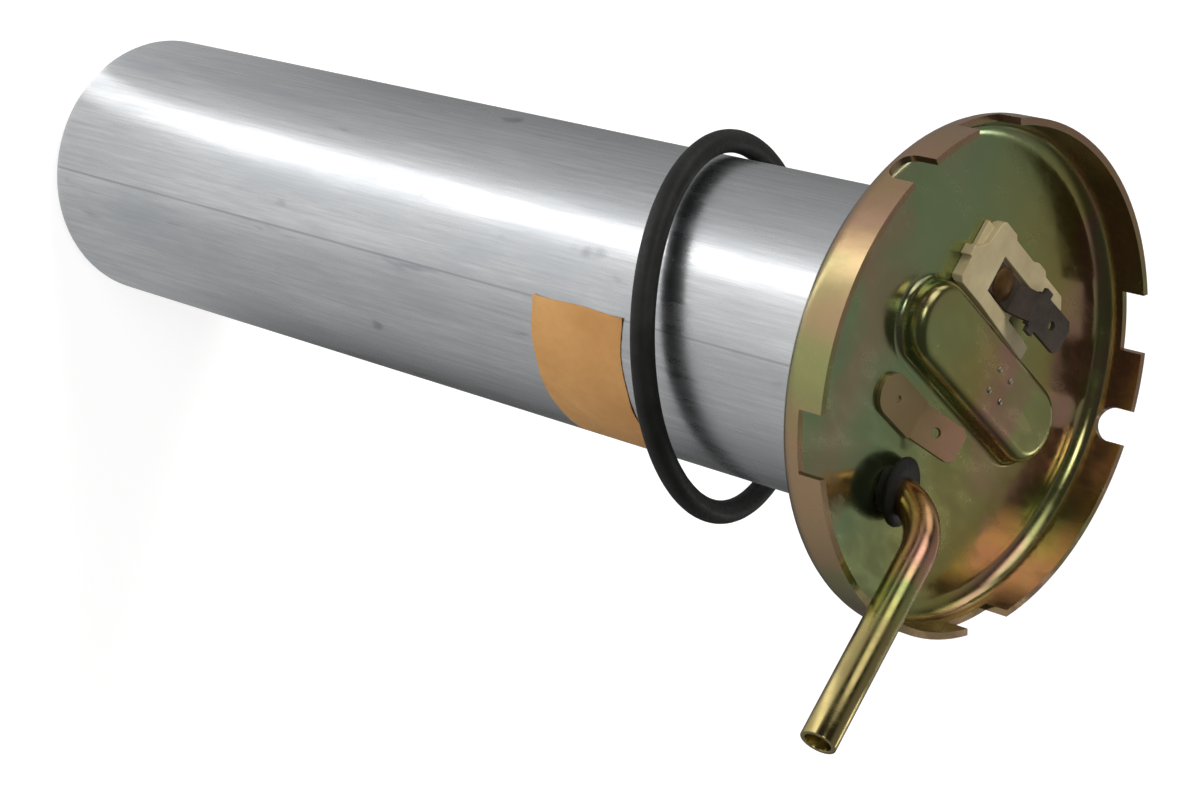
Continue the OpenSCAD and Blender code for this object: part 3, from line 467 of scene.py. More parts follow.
inner_finish, tree, shader, _ = plated("zinc_inside", 0.28)
film = film_of(tree, (0.0, 0.0, 1.0), -0.22, 0.0, 0.8, 70.0, 240.0)
hue = ramp(tree, film, (0.0, screen(190, 188, 172)), (0.5, screen(206, 198, 160)),
           (1.0, screen(196, 184, 170)))
feed(tree, shader.inputs["Base Color"], hue)

tab_finish, tree, shader, _ = plated("plated_tab", 0.36)
shader.inputs["Metallic"].default_value = 0.72
film = film_of(tree, (1.0, 0.0, 0.0), -0.012, 0.014, 0.4, 150.0, 420.0)
hue = ramp(tree, film, (0.0, screen(138, 120, 84)), (0.45, screen(150, 122, 92)),
           (1.0, screen(178, 134, 114)))
feed(tree, shader.inputs["Base Color"], hue)
print("finishes:", pipe_finish.name, inner_finish.name, tab_finish.name)

# %% [markdown]
# ## Drawn aluminium
# The tube was drawn through a die, so its marks run lengthwise: fine streaks, a mottled bloom,
# one faint line down its side, and here and there a short grey scuff. A noise that is
# stretched along Z gives the streaks.

# %% Drawn aluminium
SEAM_AT = math.radians(-146.0)

tube_finish, tree, shader = new_finish("drawn_aluminium", roughness=0.3, metallic=1.0)
streaks = noise(tree, place(tree, (1.0, 1.0, 0.035)), 1400.0, 5.0, 0.7)
bloom = noise(tree, place(tree, (1.0, 1.0, 0.22)), 110.0, 5.0, 0.7)
scuffs = noise(tree, place(tree, (1.0, 1.0, 0.16), (0.2, 0.1, 0.0)), 300.0, 3.0, 0.6, 0.4)
stains = noise(tree, place(tree, (1.0, 1.0, 0.6), (0.5, 0.3, 0.1)), 130.0, 2.0, 0.5)
body = ramp(tree, streaks, (0.30, screen(206, 208, 210)), (0.70, screen(236, 237, 238)))
body = blend(tree, span(tree, bloom, 0.35, 0.72, 0.0, 0.6), body, screen(198, 203, 208))
body = blend(tree, span(tree, scuffs, 0.64, 0.78, 0.0, 0.5), body, screen(136, 138, 146))
body = blend(tree, span(tree, stains, 0.70, 0.80, 0.0, 0.45), body, screen(120, 120, 124))
x, y, _ = where_axes(tree)
seam = sums(tree, "ABSOLUTE", sums(tree, "SUBTRACT", round_axis(tree, x, y), SEAM_AT))
seam_line = span(tree, seam, 0.004, 0.012, 1.0, 0.0)
body = blend(tree, sums(tree, "MULTIPLY", seam_line, 0.35), body, screen(110, 112, 118))
feed(tree, shader.inputs["Base Color"], body)
feed(tree, shader.inputs["Roughness"], span(tree, bloom, 0.3, 0.75, 0.20, 0.36))
dents = noise(tree, place(tree, (1.0, 1.0, 0.3)), 85.0, 1.5, 0.5)
wave = bump(tree, shader, dents, 0.00040, 0.22)
bump(tree, shader, streaks, 0.00002, 0.40, wave)
print("finish:", tube_finish.name)

# %% [markdown]
# ## Rubber, plastics, paper and the small metals
# Black rubber is never quite black: it has a grey bloom and a soft sheen. Ivory nylon has a
# little depth and yellowing, and its colours are set darker than clean nylon: painted shade for
# the dim light on the block. Paper has fibres, brass darkens in patches.

# %% Rubber, plastics and paper
def mottled(name, dark, light, scale, roughness, rough_spread=0.1, depth=0.00004,
            stretch=(1.0, 1.0, 1.0), metallic=0.0, detail=4.0, **sockets):
    """A finish that wanders between two colours, with a fine bump of its own."""
    material, tree, shader = new_finish(name, roughness, metallic, **sockets)
    where = place(tree, stretch)
    cloud = noise(tree, where, scale, detail, 0.6)
    fine = noise(tree, where, scale * 9.0, 3.0, 0.65)
    colour = ramp(tree, cloud, (0.32, dark), (0.68, light))
    colour = blend(tree, span(tree, fine, 0.4, 0.8, 0.0, 0.3), colour, dark)
    feed(tree, shader.inputs["Base Color"], colour)
    least, most = roughness - rough_spread / 2, roughness + rough_spread / 2
    feed(tree, shader.inputs["Roughness"], span(tree, fine, 0.3, 0.7, least, most))
    bump(tree, shader, fine, depth, 0.5)
    return material


rubber_finish = mottled(
    "black_rubber", screen(15, 15, 14), screen(27, 27, 25), 140.0, 0.50, rough_spread=0.14,
    Specular_IOR_Level=0.35)
# Painted shade: these ivory colours are darker than clean nylon, for the dim light on the block.
ivory_finish_with_painted_shade = mottled(
    "ivory_nylon", screen(150, 136, 102), screen(178, 165, 130), 90.0, 0.38, rough_spread=0.12,
    Subsurface_Weight=0.06, Subsurface_Scale=0.002)
white_finish = mottled(
    "white_nylon", screen(214, 212, 202), screen(232, 231, 226), 120.0, 0.4)
board_finish = mottled(
    "insulator_board", screen(86, 54, 32), screen(132, 88, 54), 160.0, 0.5, rough_spread=0.15,
    depth=0.00003, stretch=(1.0, 3.0, 8.0))
foam_finish = mottled(
    "float_foam", screen(176, 164, 132), screen(206, 196, 168), 260.0, 0.72, depth=0.0002)
paper_finish = mottled(
    "tan_paper", screen(204, 147, 82), screen(226, 172, 106), 70.0, 0.66, rough_spread=0.12,
    depth=0.00006, stretch=(1.0, 1.0, 0.7), detail=6.0)
steel_finish = mottled(
    "bright_steel", screen(168, 170, 174), screen(206, 208, 212), 200.0, 0.24, rough_spread=0.12,
    depth=0.00001, stretch=(1.0, 1.0, 0.1), metallic=1.0)
brass_finish = mottled(
    "aged_brass", screen(92, 68, 40), screen(128, 96, 56), 420.0, 0.42, rough_spread=0.2,
    depth=0.00005, metallic=0.85)
strainer_finish = mottled(
    "strainer_brass", screen(180, 142, 76), screen(216, 180, 108), 260.0, 0.3, rough_spread=0.12,
    depth=0.00001, metallic=1.0)
bronze_finish = mottled(
    "spring_bronze", screen(176, 128, 78), screen(210, 164, 104), 240.0, 0.3, rough_spread=0.12,
    depth=0.00001, stretch=(1.0, 0.2, 1.0), metallic=1.0)
blade_finish = mottled(
    "dark_blade", screen(46, 39, 34), screen(70, 60, 52), 260.0, 0.46, rough_spread=0.16,
    depth=0.00003, metallic=0.3)
print("small finishes:", len(bpy.data.materials), "materials in all")

# %% [markdown]
# ## Dressing the CAD nodes
# Most pieces inside the tube have the right shape already, so their CAD nodes stay and only get
# a finish. The finish goes by the record's own material slot, so that no node is forgotten.

# %% Finish the CAD nodes
slot_finish = {
    "zinc_flange": flange_finish, "zinc_pipe": pipe_finish, "zinc_inside": inner_finish,
    "drawn_aluminium": tube_finish, "bright_steel": steel_finish, "black_rubber": rubber_finish,
    "ivory_nylon": ivory_finish_with_painted_shade, "white_nylon": white_finish, "insulator_board": board_finish,
    "float_foam": foam_finish, "tan_paper": paper_finish, "aged_brass": brass_finish,
    "strainer_brass": strainer_finish, "spring_bronze": bronze_finish, "dark_blade": blade_finish,
    "plated_tab": tab_finish,
}
slot_of = {part["node"]: part["material_slot"] for part in frame["record"]["subparts"]}
bodies = frame["record"]["behaviour"]["bodies"]
body_of = {node: body for body, nodes in bodies.items() for node in nodes}
for node, holder in frame["nodes"].items():
    holder.data.materials.clear()
    holder.data.materials.append(slot_finish[slot_of[node]])
print("finished CAD nodes:", len(frame["nodes"]))

# %% [markdown]
# ## Helpers for pieces
# A copy of a CAD mesh is loose triangles. It is welded, its flat triangles are dissolved into
# whole faces, and its sharp edges get the tiny rounding that every pressed or moulded part has.
# Light catches those edges, and this is most of what makes a plain solid look real.

# %% Piece helpers
WELD = 2e-6                            # metres: corners closer than this are one corner
FLAT = math.radians(0.4)               # faces that differ by less than this lie in one plane
SHARP = math.radians(40.0)             # an edge that turns by more than this gets rounded


def settle(piece, body, slot, *nodes):
    """Rides the piece on its body and hides the CAD nodes that it stands for. Its slot is not used.
    """
    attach(piece, body)
    if nodes:
        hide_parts(*nodes)
    return piece


def new_piece(name, vertices, faces, finish):
    """A mesh object at the origin."""
    mesh = bpy.data.meshes.new(name)
    mesh.from_pydata(vertices, [], faces)
    mesh.materials.append(finish)
    piece = bpy.data.objects.new(name, mesh)
    bpy.context.scene.collection.objects.link(piece)
    return piece


def tidy_mesh(piece, smooth_angle=35.0):
    """Welds doubles, turns faces outwards, and shades smooth up to an angle in degrees."""
    shape = bmesh.new()
    shape.from_mesh(piece.data)
    bmesh.ops.remove_doubles(shape, verts=shape.verts, dist=WELD)
    bmesh.ops.recalc_face_normals(shape, faces=shape.faces)
    shape.to_mesh(piece.data)
    shape.free()
    piece.data.polygons.foreach_set("use_smooth", [True] * len(piece.data.polygons))
    piece.data.set_sharp_from_angle(angle=math.radians(smooth_angle))
    piece.data.update()


def bake_modifiers(piece):
    """Turns the piece and its modifiers into one plain mesh."""
    depsgraph = bpy.context.evaluated_depsgraph_get()
    depsgraph.update()
    made = bpy.data.meshes.new_from_object(piece.evaluated_get(depsgraph))
    piece.modifiers.clear()
    old = piece.data
    piece.data = made
    made.name = piece.name
    if old.users == 0:
        bpy.data.meshes.remove(old)


def bevel_edges(piece, width, segments, angle):
    """Adds a Bevel that rounds the edges which turn by more than the angle."""
    bevel = piece.modifiers.new("edge", "BEVEL")
    bevel.width = width
    bevel.segments = segments
    bevel.limit_method = "ANGLE"
    bevel.angle_limit = angle


def dressed_copy(node, edge, segments):
    """A welded copy of a CAD node with rounded edges, standing for the node."""
    source = frame["nodes"][node].data
    vertices = [v.co.copy() for v in source.vertices]
    faces = [tuple(p.vertices) for p in source.polygons]
    piece = new_piece(node + "_piece", vertices, faces, slot_finish[slot_of[node]])
    shape = bmesh.new()
    shape.from_mesh(piece.data)
    bmesh.ops.remove_doubles(shape, verts=shape.verts, dist=WELD)
    bmesh.ops.dissolve_limit(shape, angle_limit=FLAT, verts=shape.verts, edges=shape.edges)
    shape.to_mesh(piece.data)
    shape.free()
    tidy_mesh(piece)
    bevel_edges(piece, edge, segments, SHARP)
    even = piece.modifiers.new("even", "WEIGHTED_NORMAL")
    even.keep_sharp = True
    bake_modifiers(piece)
    print(piece.name, "has", len(piece.data.polygons), "faces")
    settle(piece, body_of[node], slot_of[node], node)


print("an edge is rounded from", round(math.degrees(SHARP)), "degrees up")

# %% [markdown]
# ## Pressed, moulded and drawn pieces
# These have their whole shape in the CAD model: the flange with its pad and notched rim, the
# moulded block, both blades and the drawn tube. Copies with rounded edges stand for them.
# Sheet metal gets a small radius, the moulding a larger one.

# %% Dressed copies
edge_roundings = {                     # millimetres of rounding, and its segments
    "flange_plate": (0.16, 2), "sender_tube": (0.15, 2), "terminal_block": (0.32, 3),
    "signal_spade": (0.12, 2), "ground_tab": (0.12, 2), "terminal_rivet": (0.2, 2)}
for node, (edge, segments) in edge_roundings.items():
    dressed_copy(node, edge * MM, segments)

# %% [markdown]
# ## Geometry Nodes by script
# What repeats, or follows a path, is made by a small node tree. Each tree starts from a bare
# mesh of points or a path, has a named input for every size, and ends by making instances real
# and setting the finish. The helper sets each input by its socket's identifier before the
# object is evaluated, and then turns the result into a plain mesh.

# %% Geometry Nodes helpers
def node_tree(name, *sizes):
    """A tree with a geometry input and output, and one float input for each named size."""
    tree = bpy.data.node_groups.new(name, "GeometryNodeTree")
    tree.interface.new_socket("Geometry", in_out="INPUT", socket_type="NodeSocketGeometry")
    for size in sizes:
        tree.interface.new_socket(size, in_out="INPUT", socket_type="NodeSocketFloat")
    tree.interface.new_socket("Finish", in_out="INPUT", socket_type="NodeSocketMaterial")
    tree.interface.new_socket("Geometry", in_out="OUTPUT", socket_type="NodeSocketGeometry")
    start = add(tree, "NodeGroupInput")
    return tree, {socket.name: socket for socket in start.outputs if socket.name}


def end_tree(tree, inputs, geometry):
    """Makes instances real, sets the finish, and closes the tree."""
    real = add(tree, "GeometryNodeRealizeInstances")
    feed(tree, real.inputs["Geometry"], geometry)
    painted = add(tree, "GeometryNodeSetMaterial")
    feed(tree, painted.inputs["Geometry"], real.outputs["Geometry"])
    feed(tree, painted.inputs["Material"], inputs["Finish"])
    feed(tree, add(tree, "NodeGroupOutput").inputs["Geometry"], painted.outputs["Geometry"])
    return tree


def grow(name, tree, points, edges, finish, marks=None, **sizes):
    """Runs a tree on points or a path, and keeps the result as a plain mesh."""
    mesh = bpy.data.meshes.new(name)
    mesh.from_pydata(points, edges, [])
    for mark, values in (marks or {}).items():
        mesh.attributes.new(mark, "FLOAT", "POINT").data.foreach_set("value", values)
    piece = bpy.data.objects.new(name, mesh)
    bpy.context.scene.collection.objects.link(piece)
    modifier = piece.modifiers.new("grow", "NODES")
    modifier.node_group = tree
    for item in tree.interface.items_tree:
        if item.in_out == "INPUT" and item.name in sizes:
            modifier[item.identifier] = float(sizes[item.name])
        elif item.in_out == "INPUT" and item.name == "Finish":
            modifier[item.identifier] = finish
    bake_modifiers(piece)
    tidy_mesh(piece)
    print(name, "has", len(piece.data.polygons), "faces")
    return piece


def chain(points):
    """The edges that join a row of points into one path."""
    return [(i, i + 1) for i in range(len(points) - 1)]


print("Geometry Nodes helpers are ready")

# %% [markdown]
# ## The outlet pipe
# A steel pipe comes up through the flange, turns in one bend and ends in a plain cut for a hose.
# Its shape is a circle carried along a path, so the path is written as points and a tree sweeps
# the circle along it. The wall comes from Solidify, which also closes the cut ends.

# %% Outlet pipe
def swept_tree(name):
    """A round section carried along the given path."""
    tree, inputs = node_tree(name, "Radius", "Sides")
    path = add(tree, "GeometryNodeMeshToCurve")
    feed(tree, path.inputs["Mesh"], inputs["Geometry"])
    section = add(tree, "GeometryNodeCurvePrimitiveCircle")
    feed(tree, section.inputs["Radius"], inputs["Radius"])
    feed(tree, section.inputs["Resolution"], inputs["Sides"])
    sweep = add(tree, "GeometryNodeCurveToMesh")
    feed(tree, sweep.inputs["Curve"], path.outputs["Curve"])
    feed(tree, sweep.inputs["Profile Curve"], section.outputs["Curve"])
    return end_tree(tree, inputs, sweep.outputs["Mesh"])


PIPE_R, PIPE_WALL, BEND_R, PIPE_RUN = 3.0 * MM, 0.8 * MM, 13.0 * MM, 35.0 * MM
BEND_TURN, PIPE_RISE, PIPE_HEADING = math.radians(82.0), math.radians(8.0), math.radians(-101.0)
FOOT_STEPS, BEND_STEPS, RUN_STEPS, PIPE_SIDES = 8, 28, 3, 56
CUT_EDGE, CUT_ANGLE = 0.12 * MM, math.radians(50.0)

pipe_foot = Vector((-0.2 * MM, -22.6 * MM, 1.1 * MM))
pipe_way = Vector((math.cos(PIPE_HEADING), math.sin(PIPE_HEADING), 0.0))
pipe_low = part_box("outlet_pipe")[0].z
pipe_route = []
for step in range(FOOT_STEPS + 1):
    drop = (pipe_low - pipe_foot.z) * (1.0 - step / FOOT_STEPS)
    pipe_route.append(pipe_foot + Vector((0.0, 0.0, drop)))
for step in range(1, BEND_STEPS + 1):
    turned = BEND_TURN * step / BEND_STEPS
    sideways = pipe_way * BEND_R * (1.0 - math.cos(turned))
    pipe_route.append(pipe_foot + sideways + Vector((0.0, 0.0, BEND_R * math.sin(turned))))
pipe_ahead = pipe_way * math.cos(PIPE_RISE) + Vector((0.0, 0.0, math.sin(PIPE_RISE)))
bend_end = pipe_route[-1].copy()
for step in range(1, RUN_STEPS + 1):
    pipe_route.append(bend_end + pipe_ahead * PIPE_RUN * step / RUN_STEPS)

pipe = grow("outlet_pipe_swept", swept_tree("swept_pipe"), [tuple(p) for p in pipe_route],
            chain(pipe_route), pipe_finish, Radius=PIPE_R, Sides=PIPE_SIDES)
wall = pipe.modifiers.new("wall", "SOLIDIFY")
wall.thickness = PIPE_WALL
wall.offset = -1.0
bevel_edges(pipe, CUT_EDGE, 2, CUT_ANGLE)
bake_modifiers(pipe)
tidy_mesh(pipe)
settle(pipe, "sender", "zinc_pipe", "outlet_pipe")
print("pipe route:", len(pipe_route), "points")

# %% [markdown]
# ## The rubber collar
# A soft round collar seals the pipe's hole, and the pipe has pushed it askew. The same idea of
# a section on a path makes it, only here the section swells and shrinks: every point of the
# path carries its own radius, and the tree scales the section by it. The path is a straight
# line that leans 14 degrees, so that one side of the collar rests on the plate.

# %% Rubber collar
def swelling_tree():
    """A round section whose radius is read from the path's points, closed at both ends."""
    tree, inputs = node_tree("swelling_section", "Sides")
    path = add(tree, "GeometryNodeMeshToCurve")
    feed(tree, path.inputs["Mesh"], inputs["Geometry"])
    swell = add(tree, "GeometryNodeInputNamedAttribute", data_type="FLOAT")
    swell.inputs["Name"].default_value = "swell"
    section = add(tree, "GeometryNodeCurvePrimitiveCircle")
    section.inputs["Radius"].default_value = 1.0
    feed(tree, section.inputs["Resolution"], inputs["Sides"])
    sweep = add(tree, "GeometryNodeCurveToMesh")
    feed(tree, sweep.inputs["Curve"], path.outputs["Curve"])
    feed(tree, sweep.inputs["Scale"], swell.outputs["Attribute"])
    feed(tree, sweep.inputs["Profile Curve"], section.outputs["Curve"])
    sweep.inputs["Fill Caps"].default_value = True
    return end_tree(tree, inputs, sweep.outputs["Mesh"])


collar_profile = [                     # millimetres: height above the pipe's foot, and radius
    (-0.30, 3.90), (0.90, 3.90), (1.25, 4.50), (1.50, 5.20), (1.90, 5.70), (2.40, 5.85),
    (2.90, 5.70), (3.20, 5.30), (3.38, 4.70), (3.45, 4.00), (3.48, 3.20)]
BETWEEN = 3                            # stations between one line of the profile and the next
LEAN, LEAN_TOWARDS = math.radians(14.0), math.radians(30.0)

collar_way = Vector((math.sin(LEAN) * math.cos(LEAN_TOWARDS),
                     math.sin(LEAN) * math.sin(LEAN_TOWARDS), math.cos(LEAN)))
stations = []
for (low, first), (high, second) in zip(collar_profile, collar_profile[1:]):
    for k in range(BETWEEN):
        part = k / BETWEEN
        stations.append((low + (high - low) * part, first + (second - first) * part))
stations.append(collar_profile[-1])
collar_points = [tuple(pipe_foot + collar_way * height * MM) for height, radius in stations]
swells = [radius * MM for height, radius in stations]
collar = grow("pipe_collar_soft", swelling_tree(), collar_points, chain(collar_points),
              rubber_finish, {"swell": swells}, Sides=56)
settle(collar, "sender", "black_rubber", "pipe_collar")
print("collar stations:", len(stations))

# %% [markdown]
# ## The sealing ring
# The loose ring is a round rubber cord moulded in a circle. It hangs tilted on the tube. A tree
# carries a round section along a circle and lets a slow noise move the section a little,
# because an old ring is never quite true. Then it is tilted into its place.

# %% Sealing ring
def ring_tree():
    """A swept ring with a little waviness, inside its true size."""
    tree, inputs = node_tree("rubber_ring", "Ring radius", "Section radius", "Waviness",
                             "Tilt", "Lean", "Place X", "Place Y", "Place Z")
    circle = add(tree, "GeometryNodeCurvePrimitiveCircle")
    circle.inputs["Resolution"].default_value = 160
    feed(tree, circle.inputs["Radius"], inputs["Ring radius"])
    section = add(tree, "GeometryNodeCurvePrimitiveCircle")
    section.inputs["Resolution"].default_value = 28
    thinner = sums(tree, "SUBTRACT", inputs["Section radius"], inputs["Waviness"])
    feed(tree, section.inputs["Radius"], thinner)
    sweep = add(tree, "GeometryNodeCurveToMesh")
    feed(tree, sweep.inputs["Curve"], circle.outputs["Curve"])
    feed(tree, sweep.inputs["Profile Curve"], section.outputs["Curve"])
    wander = add(tree, "ShaderNodeTexNoise")
    feed(tree, wander.inputs["Vector"], add(tree, "GeometryNodeInputPosition").outputs["Position"])
    wander.inputs["Scale"].default_value = 60.0
    wander.inputs["Detail"].default_value = 1.0
    along = add(tree, "ShaderNodeVectorMath", operation="SCALE")
    feed(tree, along.inputs[0], add(tree, "GeometryNodeInputNormal").outputs["Normal"])
    swing = sums(tree, "SUBTRACT", wander.outputs["Fac"], 0.5)
    feed(tree, along.inputs["Scale"], sums(tree, "MULTIPLY", swing, inputs["Waviness"]))
    moved = add(tree, "GeometryNodeSetPosition")
    feed(tree, moved.inputs["Geometry"], sweep.outputs["Mesh"])
    feed(tree, moved.inputs["Offset"], along.outputs["Vector"])
    tilt = add(tree, "ShaderNodeCombineXYZ")
    feed(tree, tilt.inputs["Y"], inputs["Tilt"])
    feed(tree, tilt.inputs["Z"], inputs["Lean"])
    spot = add(tree, "ShaderNodeCombineXYZ")
    for axis in "XYZ":
        feed(tree, spot.inputs[axis], inputs["Place " + axis])
    placed = add(tree, "GeometryNodeTransform")
    feed(tree, placed.inputs["Geometry"], moved.outputs["Geometry"])
    feed(tree, placed.inputs["Translation"], spot.outputs["Vector"])
    feed(tree, placed.inputs["Rotation"], tilt.outputs["Vector"])
    return end_tree(tree, inputs, placed.outputs["Geometry"])


ring_sizes = {"Ring radius": 32.55 * MM, "Section radius": 2.15 * MM, "Waviness": 0.06 * MM,
              "Tilt": math.radians(17.6), "Lean": math.radians(63.6),
              "Place X": 1.9 * MM, "Place Y": -1.7 * MM, "Place Z": -48.1 * MM}
ring = grow("sealing_ring_swept", ring_tree(), [(0.0, 0.0, 0.0)], [], rubber_finish, **ring_sizes)
settle(ring, "ring", "black_rubber", "sealing_ring")

# %% [markdown]
# ## Weld marks on the pad
# The gauge's bracket is spot-welded under the pad, and the electrodes left four small bright
# marks on top. A tree sets one shallow dome on each point, with a seeded turn, so that the
# four don't glint alike.

# %% Weld marks
WHOLE_TURN = 6.283                     # radians


def mark_tree():
    """A shallow dome on every point."""
    tree, inputs = node_tree("weld_marks", "Mark radius", "Flatness")
    dome = add(tree, "GeometryNodeMeshIcoSphere")
    dome.inputs["Subdivisions"].default_value = 4
    feed(tree, dome.inputs["Radius"], inputs["Mark radius"])
    size = add(tree, "ShaderNodeCombineXYZ")
    size.inputs["X"].default_value = 1.0
    size.inputs["Y"].default_value = 0.8
    feed(tree, size.inputs["Z"], inputs["Flatness"])
    turn = add(tree, "FunctionNodeRandomValue", data_type="FLOAT")
    turn.inputs[3].default_value = WHOLE_TURN
    turn.inputs["Seed"].default_value = 4
    spin = add(tree, "ShaderNodeCombineXYZ")
    feed(tree, spin.inputs["Z"], turn.outputs[1])
    dots = add(tree, "GeometryNodeInstanceOnPoints")
    feed(tree, dots.inputs["Points"], inputs["Geometry"])
    feed(tree, dots.inputs["Instance"], dome.outputs["Mesh"])
    feed(tree, dots.inputs["Scale"], size.outputs["Vector"])
    feed(tree, dots.inputs["Rotation"], spin.outputs["Vector"])
    return end_tree(tree, inputs, dots.outputs["Instances"])


MARKS_X, MARKS_Y, MARKS_Z, HALF_PITCH = 7.3 * MM, 2.6 * MM, 5.65 * MM, 2.0 * MM
mark_points = [(MARKS_X + dx * HALF_PITCH, MARKS_Y + dy * HALF_PITCH, MARKS_Z)
               for dx in (-1, 1) for dy in (-1, 1)]
mark_sizes = {"Mark radius": 0.62 * MM, "Flatness": 0.62}
marks = grow("pad_weld_marks", mark_tree(), mark_points, [], inner_finish, **mark_sizes)
settle(marks, "sender", "zinc_inside")

# %% [markdown]
# ## Rivets of the gauge
# Small rivets hold the bracket, the leaves and the contact bridge. The CAD model has them as
# plain shapes, and the tree gives each one a turned head: a dome with a crisp lower edge.
# The loose shells of the CAD node give every rivet's place, and the first of them the size.

# %% Rivets
SHANK_SHARE = 0.62                     # the shank's radius as a share of the head's


def shells_of(node):
    """Lowest and highest corner of every loose shell of a CAD node, ordered along X, Y and Z."""
    shape = bmesh.new()
    shape.from_mesh(frame["nodes"][node].data)
    bmesh.ops.remove_doubles(shape, verts=shape.verts, dist=WELD)
    left, boxes = set(shape.verts), []
    while left:
        stack, found = [left.pop()], []
        while stack:
            vertex = stack.pop()
            found.append(vertex.co.copy())
            for edge in vertex.link_edges:
                other = edge.other_vert(vertex)
                if other in left:
                    left.discard(other)
                    stack.append(other)
        boxes.append([Vector([f(p[i] for p in found) for i in range(3)]) for f in (min, max)])
    shape.free()
    return sorted(boxes, key=lambda box: tuple(box[0]))


def rivet_tree():
    """A shank with a turned dome at both ends, on every point."""
    tree, inputs = node_tree("turned_rivets", "Radius", "Length", "Head height")
    shank = add(tree, "GeometryNodeMeshCylinder")
    shank.inputs["Vertices"].default_value = 40
    between_heads = sums(tree, "SUBTRACT", inputs["Length"], inputs["Head height"])
    feed(tree, shank.inputs["Radius"], sums(tree, "MULTIPLY", inputs["Radius"], SHANK_SHARE))
    feed(tree, shank.inputs["Depth"], between_heads)
    head = add(tree, "GeometryNodeMeshUVSphere")
    head.inputs["Segments"].default_value = 40
    head.inputs["Rings"].default_value = 20
    feed(tree, head.inputs["Radius"], inputs["Radius"])
    flatten = add(tree, "ShaderNodeCombineXYZ")
    flatten.inputs["X"].default_value = 1.0
    flatten.inputs["Y"].default_value = 1.0
    head_width = sums(tree, "MULTIPLY", inputs["Radius"], 2.0)
    feed(tree, flatten.inputs["Z"], sums(tree, "DIVIDE", inputs["Head height"], head_width))
    whole = add(tree, "GeometryNodeJoinGeometry")
    feed(tree, whole.inputs["Geometry"], shank.outputs["Mesh"])
    half = sums(tree, "MULTIPLY", between_heads, 0.5)
    for side in (1.0, -1.0):
        lift_by = add(tree, "ShaderNodeCombineXYZ")
        feed(tree, lift_by.inputs["Z"], sums(tree, "MULTIPLY", half, side))
        end = add(tree, "GeometryNodeTransform")
        feed(tree, end.inputs["Geometry"], head.outputs["Mesh"])
        feed(tree, end.inputs["Scale"], flatten.outputs["Vector"])
        feed(tree, end.inputs["Translation"], lift_by.outputs["Vector"])
        feed(tree, whole.inputs["Geometry"], end.outputs["Geometry"])
    spread = add(tree, "GeometryNodeInstanceOnPoints")
    feed(tree, spread.inputs["Points"], inputs["Geometry"])
    feed(tree, spread.inputs["Instance"], whole.outputs["Geometry"])
    return end_tree(tree, inputs, spread.outputs["Instances"])


turned_rivets = rivet_tree()
for node, head_height in (("bracket_rivets", 1.2), ("leaf_rivets", 1.0), ("bridge_rivets", 0.8)):
    boxes = shells_of(node)
    centres = [tuple((low + high) / 2.0) for low, high in boxes]
    low, high = boxes[0]
    rivet_sizes = {"Radius": (high.x - low.x) / 2.0, "Length": high.z - low.z,
                   "Head height": head_height * MM}
    made = grow(node + "_turned", turned_rivets, centres, [], slot_finish[slot_of[node]],
                **rivet_sizes)
    settle(made, body_of[node], slot_of[node], node)

# %% [markdown]
# ## Pickup strainer
# The strainer at the pipe's foot is a cup of fine woven brass. It is far too fine to build wire
# by wire, so its finish carries the weave: two sets of stripes, one round the cup and one along
# it, crossed over each other in height.

# %% Strainer weave
WARP_WIRES, WEFT_TURNS = 60.0, 15000.0     # wires round the cup, and radians of wave per metre

tree = strainer_finish.node_tree
shader = tree.nodes["Principled BSDF"]
low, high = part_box("pickup_strainer")
middle = (low + high) / 2.0
x, y, z = where_axes(tree)
cup_x, cup_y = sums(tree, "SUBTRACT", x, middle.x), sums(tree, "SUBTRACT", y, middle.y)
cup_turn = round_axis(tree, cup_x, cup_y)
warp = sums(tree, "SINE", sums(tree, "MULTIPLY", cup_turn, WARP_WIRES))
weft = sums(tree, "SINE", sums(tree, "MULTIPLY", z, WEFT_TURNS))
bump(tree, shader, sums(tree, "MAXIMUM", warp, weft), 0.0001, 0.8)
print("strainer weave on", strainer_finish.name)

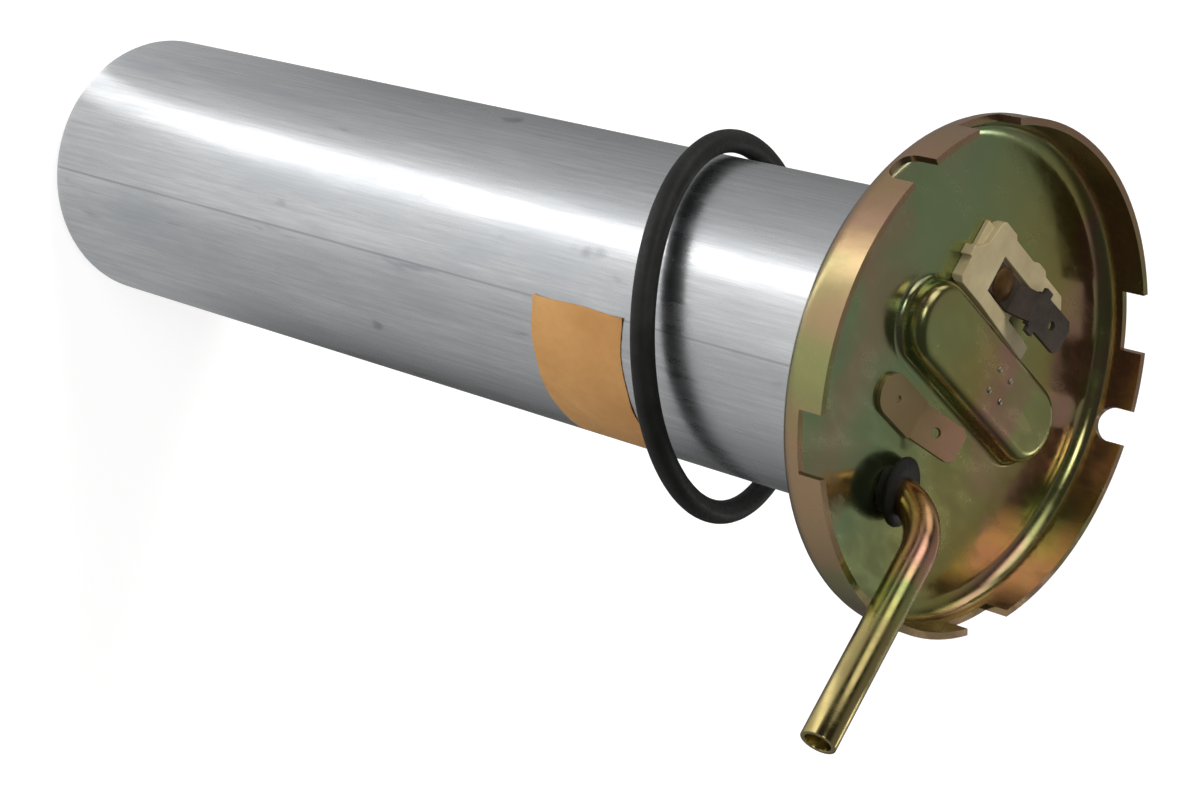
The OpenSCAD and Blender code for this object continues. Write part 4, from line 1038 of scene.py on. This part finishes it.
# %% [markdown]
# ## The paper label
# A strip of bare tan paper tape is wrapped on the tube. It is a thin sheet in cylinder
# coordinates: small wrinkles run with the wrap, the cut edges waver, and two corners have
# come off a little.

# %% Paper label
LABEL_FROM, LABEL_TO = -147.0, -79.0                 # degrees round the tube
LABEL_LOW, LABEL_TOP, TUBE_R = -70.0 * MM, -48.0 * MM, 27.0 * MM
PAPER, GLUE_GAP, WRINKLE, LIFT = 0.10 * MM, 0.03 * MM, 0.10 * MM, 0.30 * MM
COLUMNS, ROWS = 96, 36


def label_point(u, v):
    """A point of the sheet: u runs round the tube and v up it, both from 0 to 1."""
    at_end = v < 0.01 or v > 0.99
    waver = 0.12 * MM * math.sin(17.0 * u + 1.0) * (1.0 if at_end else 0.0)
    side_waver = 0.25 * math.sin(9.0 * v) * (u < 0.01)
    turn_at = math.radians(LABEL_FROM + (LABEL_TO - LABEL_FROM) * u + side_waver)
    height = LABEL_LOW + (LABEL_TOP - LABEL_LOW) * (0.006 + 0.988 * v) + waver
    fold = max(0.0, math.sin(7.0 * v + 2.2 * math.sin(5.0 * u)) ** 7)
    first_corner = max(0.0, 1.0 - math.hypot(u / 0.10, v / 0.22)) ** 2
    second_corner = max(0.0, 1.0 - math.hypot(u / 0.06, (1.0 - v) / 0.15)) ** 2
    radius = (TUBE_R + GLUE_GAP + fold * WRINKLE * math.sin(math.pi * u)
              + LIFT * (first_corner + second_corner))
    return (radius * math.cos(turn_at), radius * math.sin(turn_at), height)


points = [label_point(i / COLUMNS, j / ROWS) for j in range(ROWS + 1) for i in range(COLUMNS + 1)]
row = COLUMNS + 1
faces = [(j * row + i, j * row + i + 1, (j + 1) * row + i + 1, (j + 1) * row + i)
         for j in range(ROWS) for i in range(COLUMNS)]
label = new_piece("paper_label_wrapped", points, faces, paper_finish)
sheet_wall = label.modifiers.new("paper", "SOLIDIFY")
sheet_wall.thickness = PAPER
sheet_wall.offset = 1.0
bake_modifiers(label)
tidy_mesh(label, smooth_angle=50.0)
settle(label, "sender", "tan_paper", "paper_label")
print("label has", len(label.data.polygons), "faces")
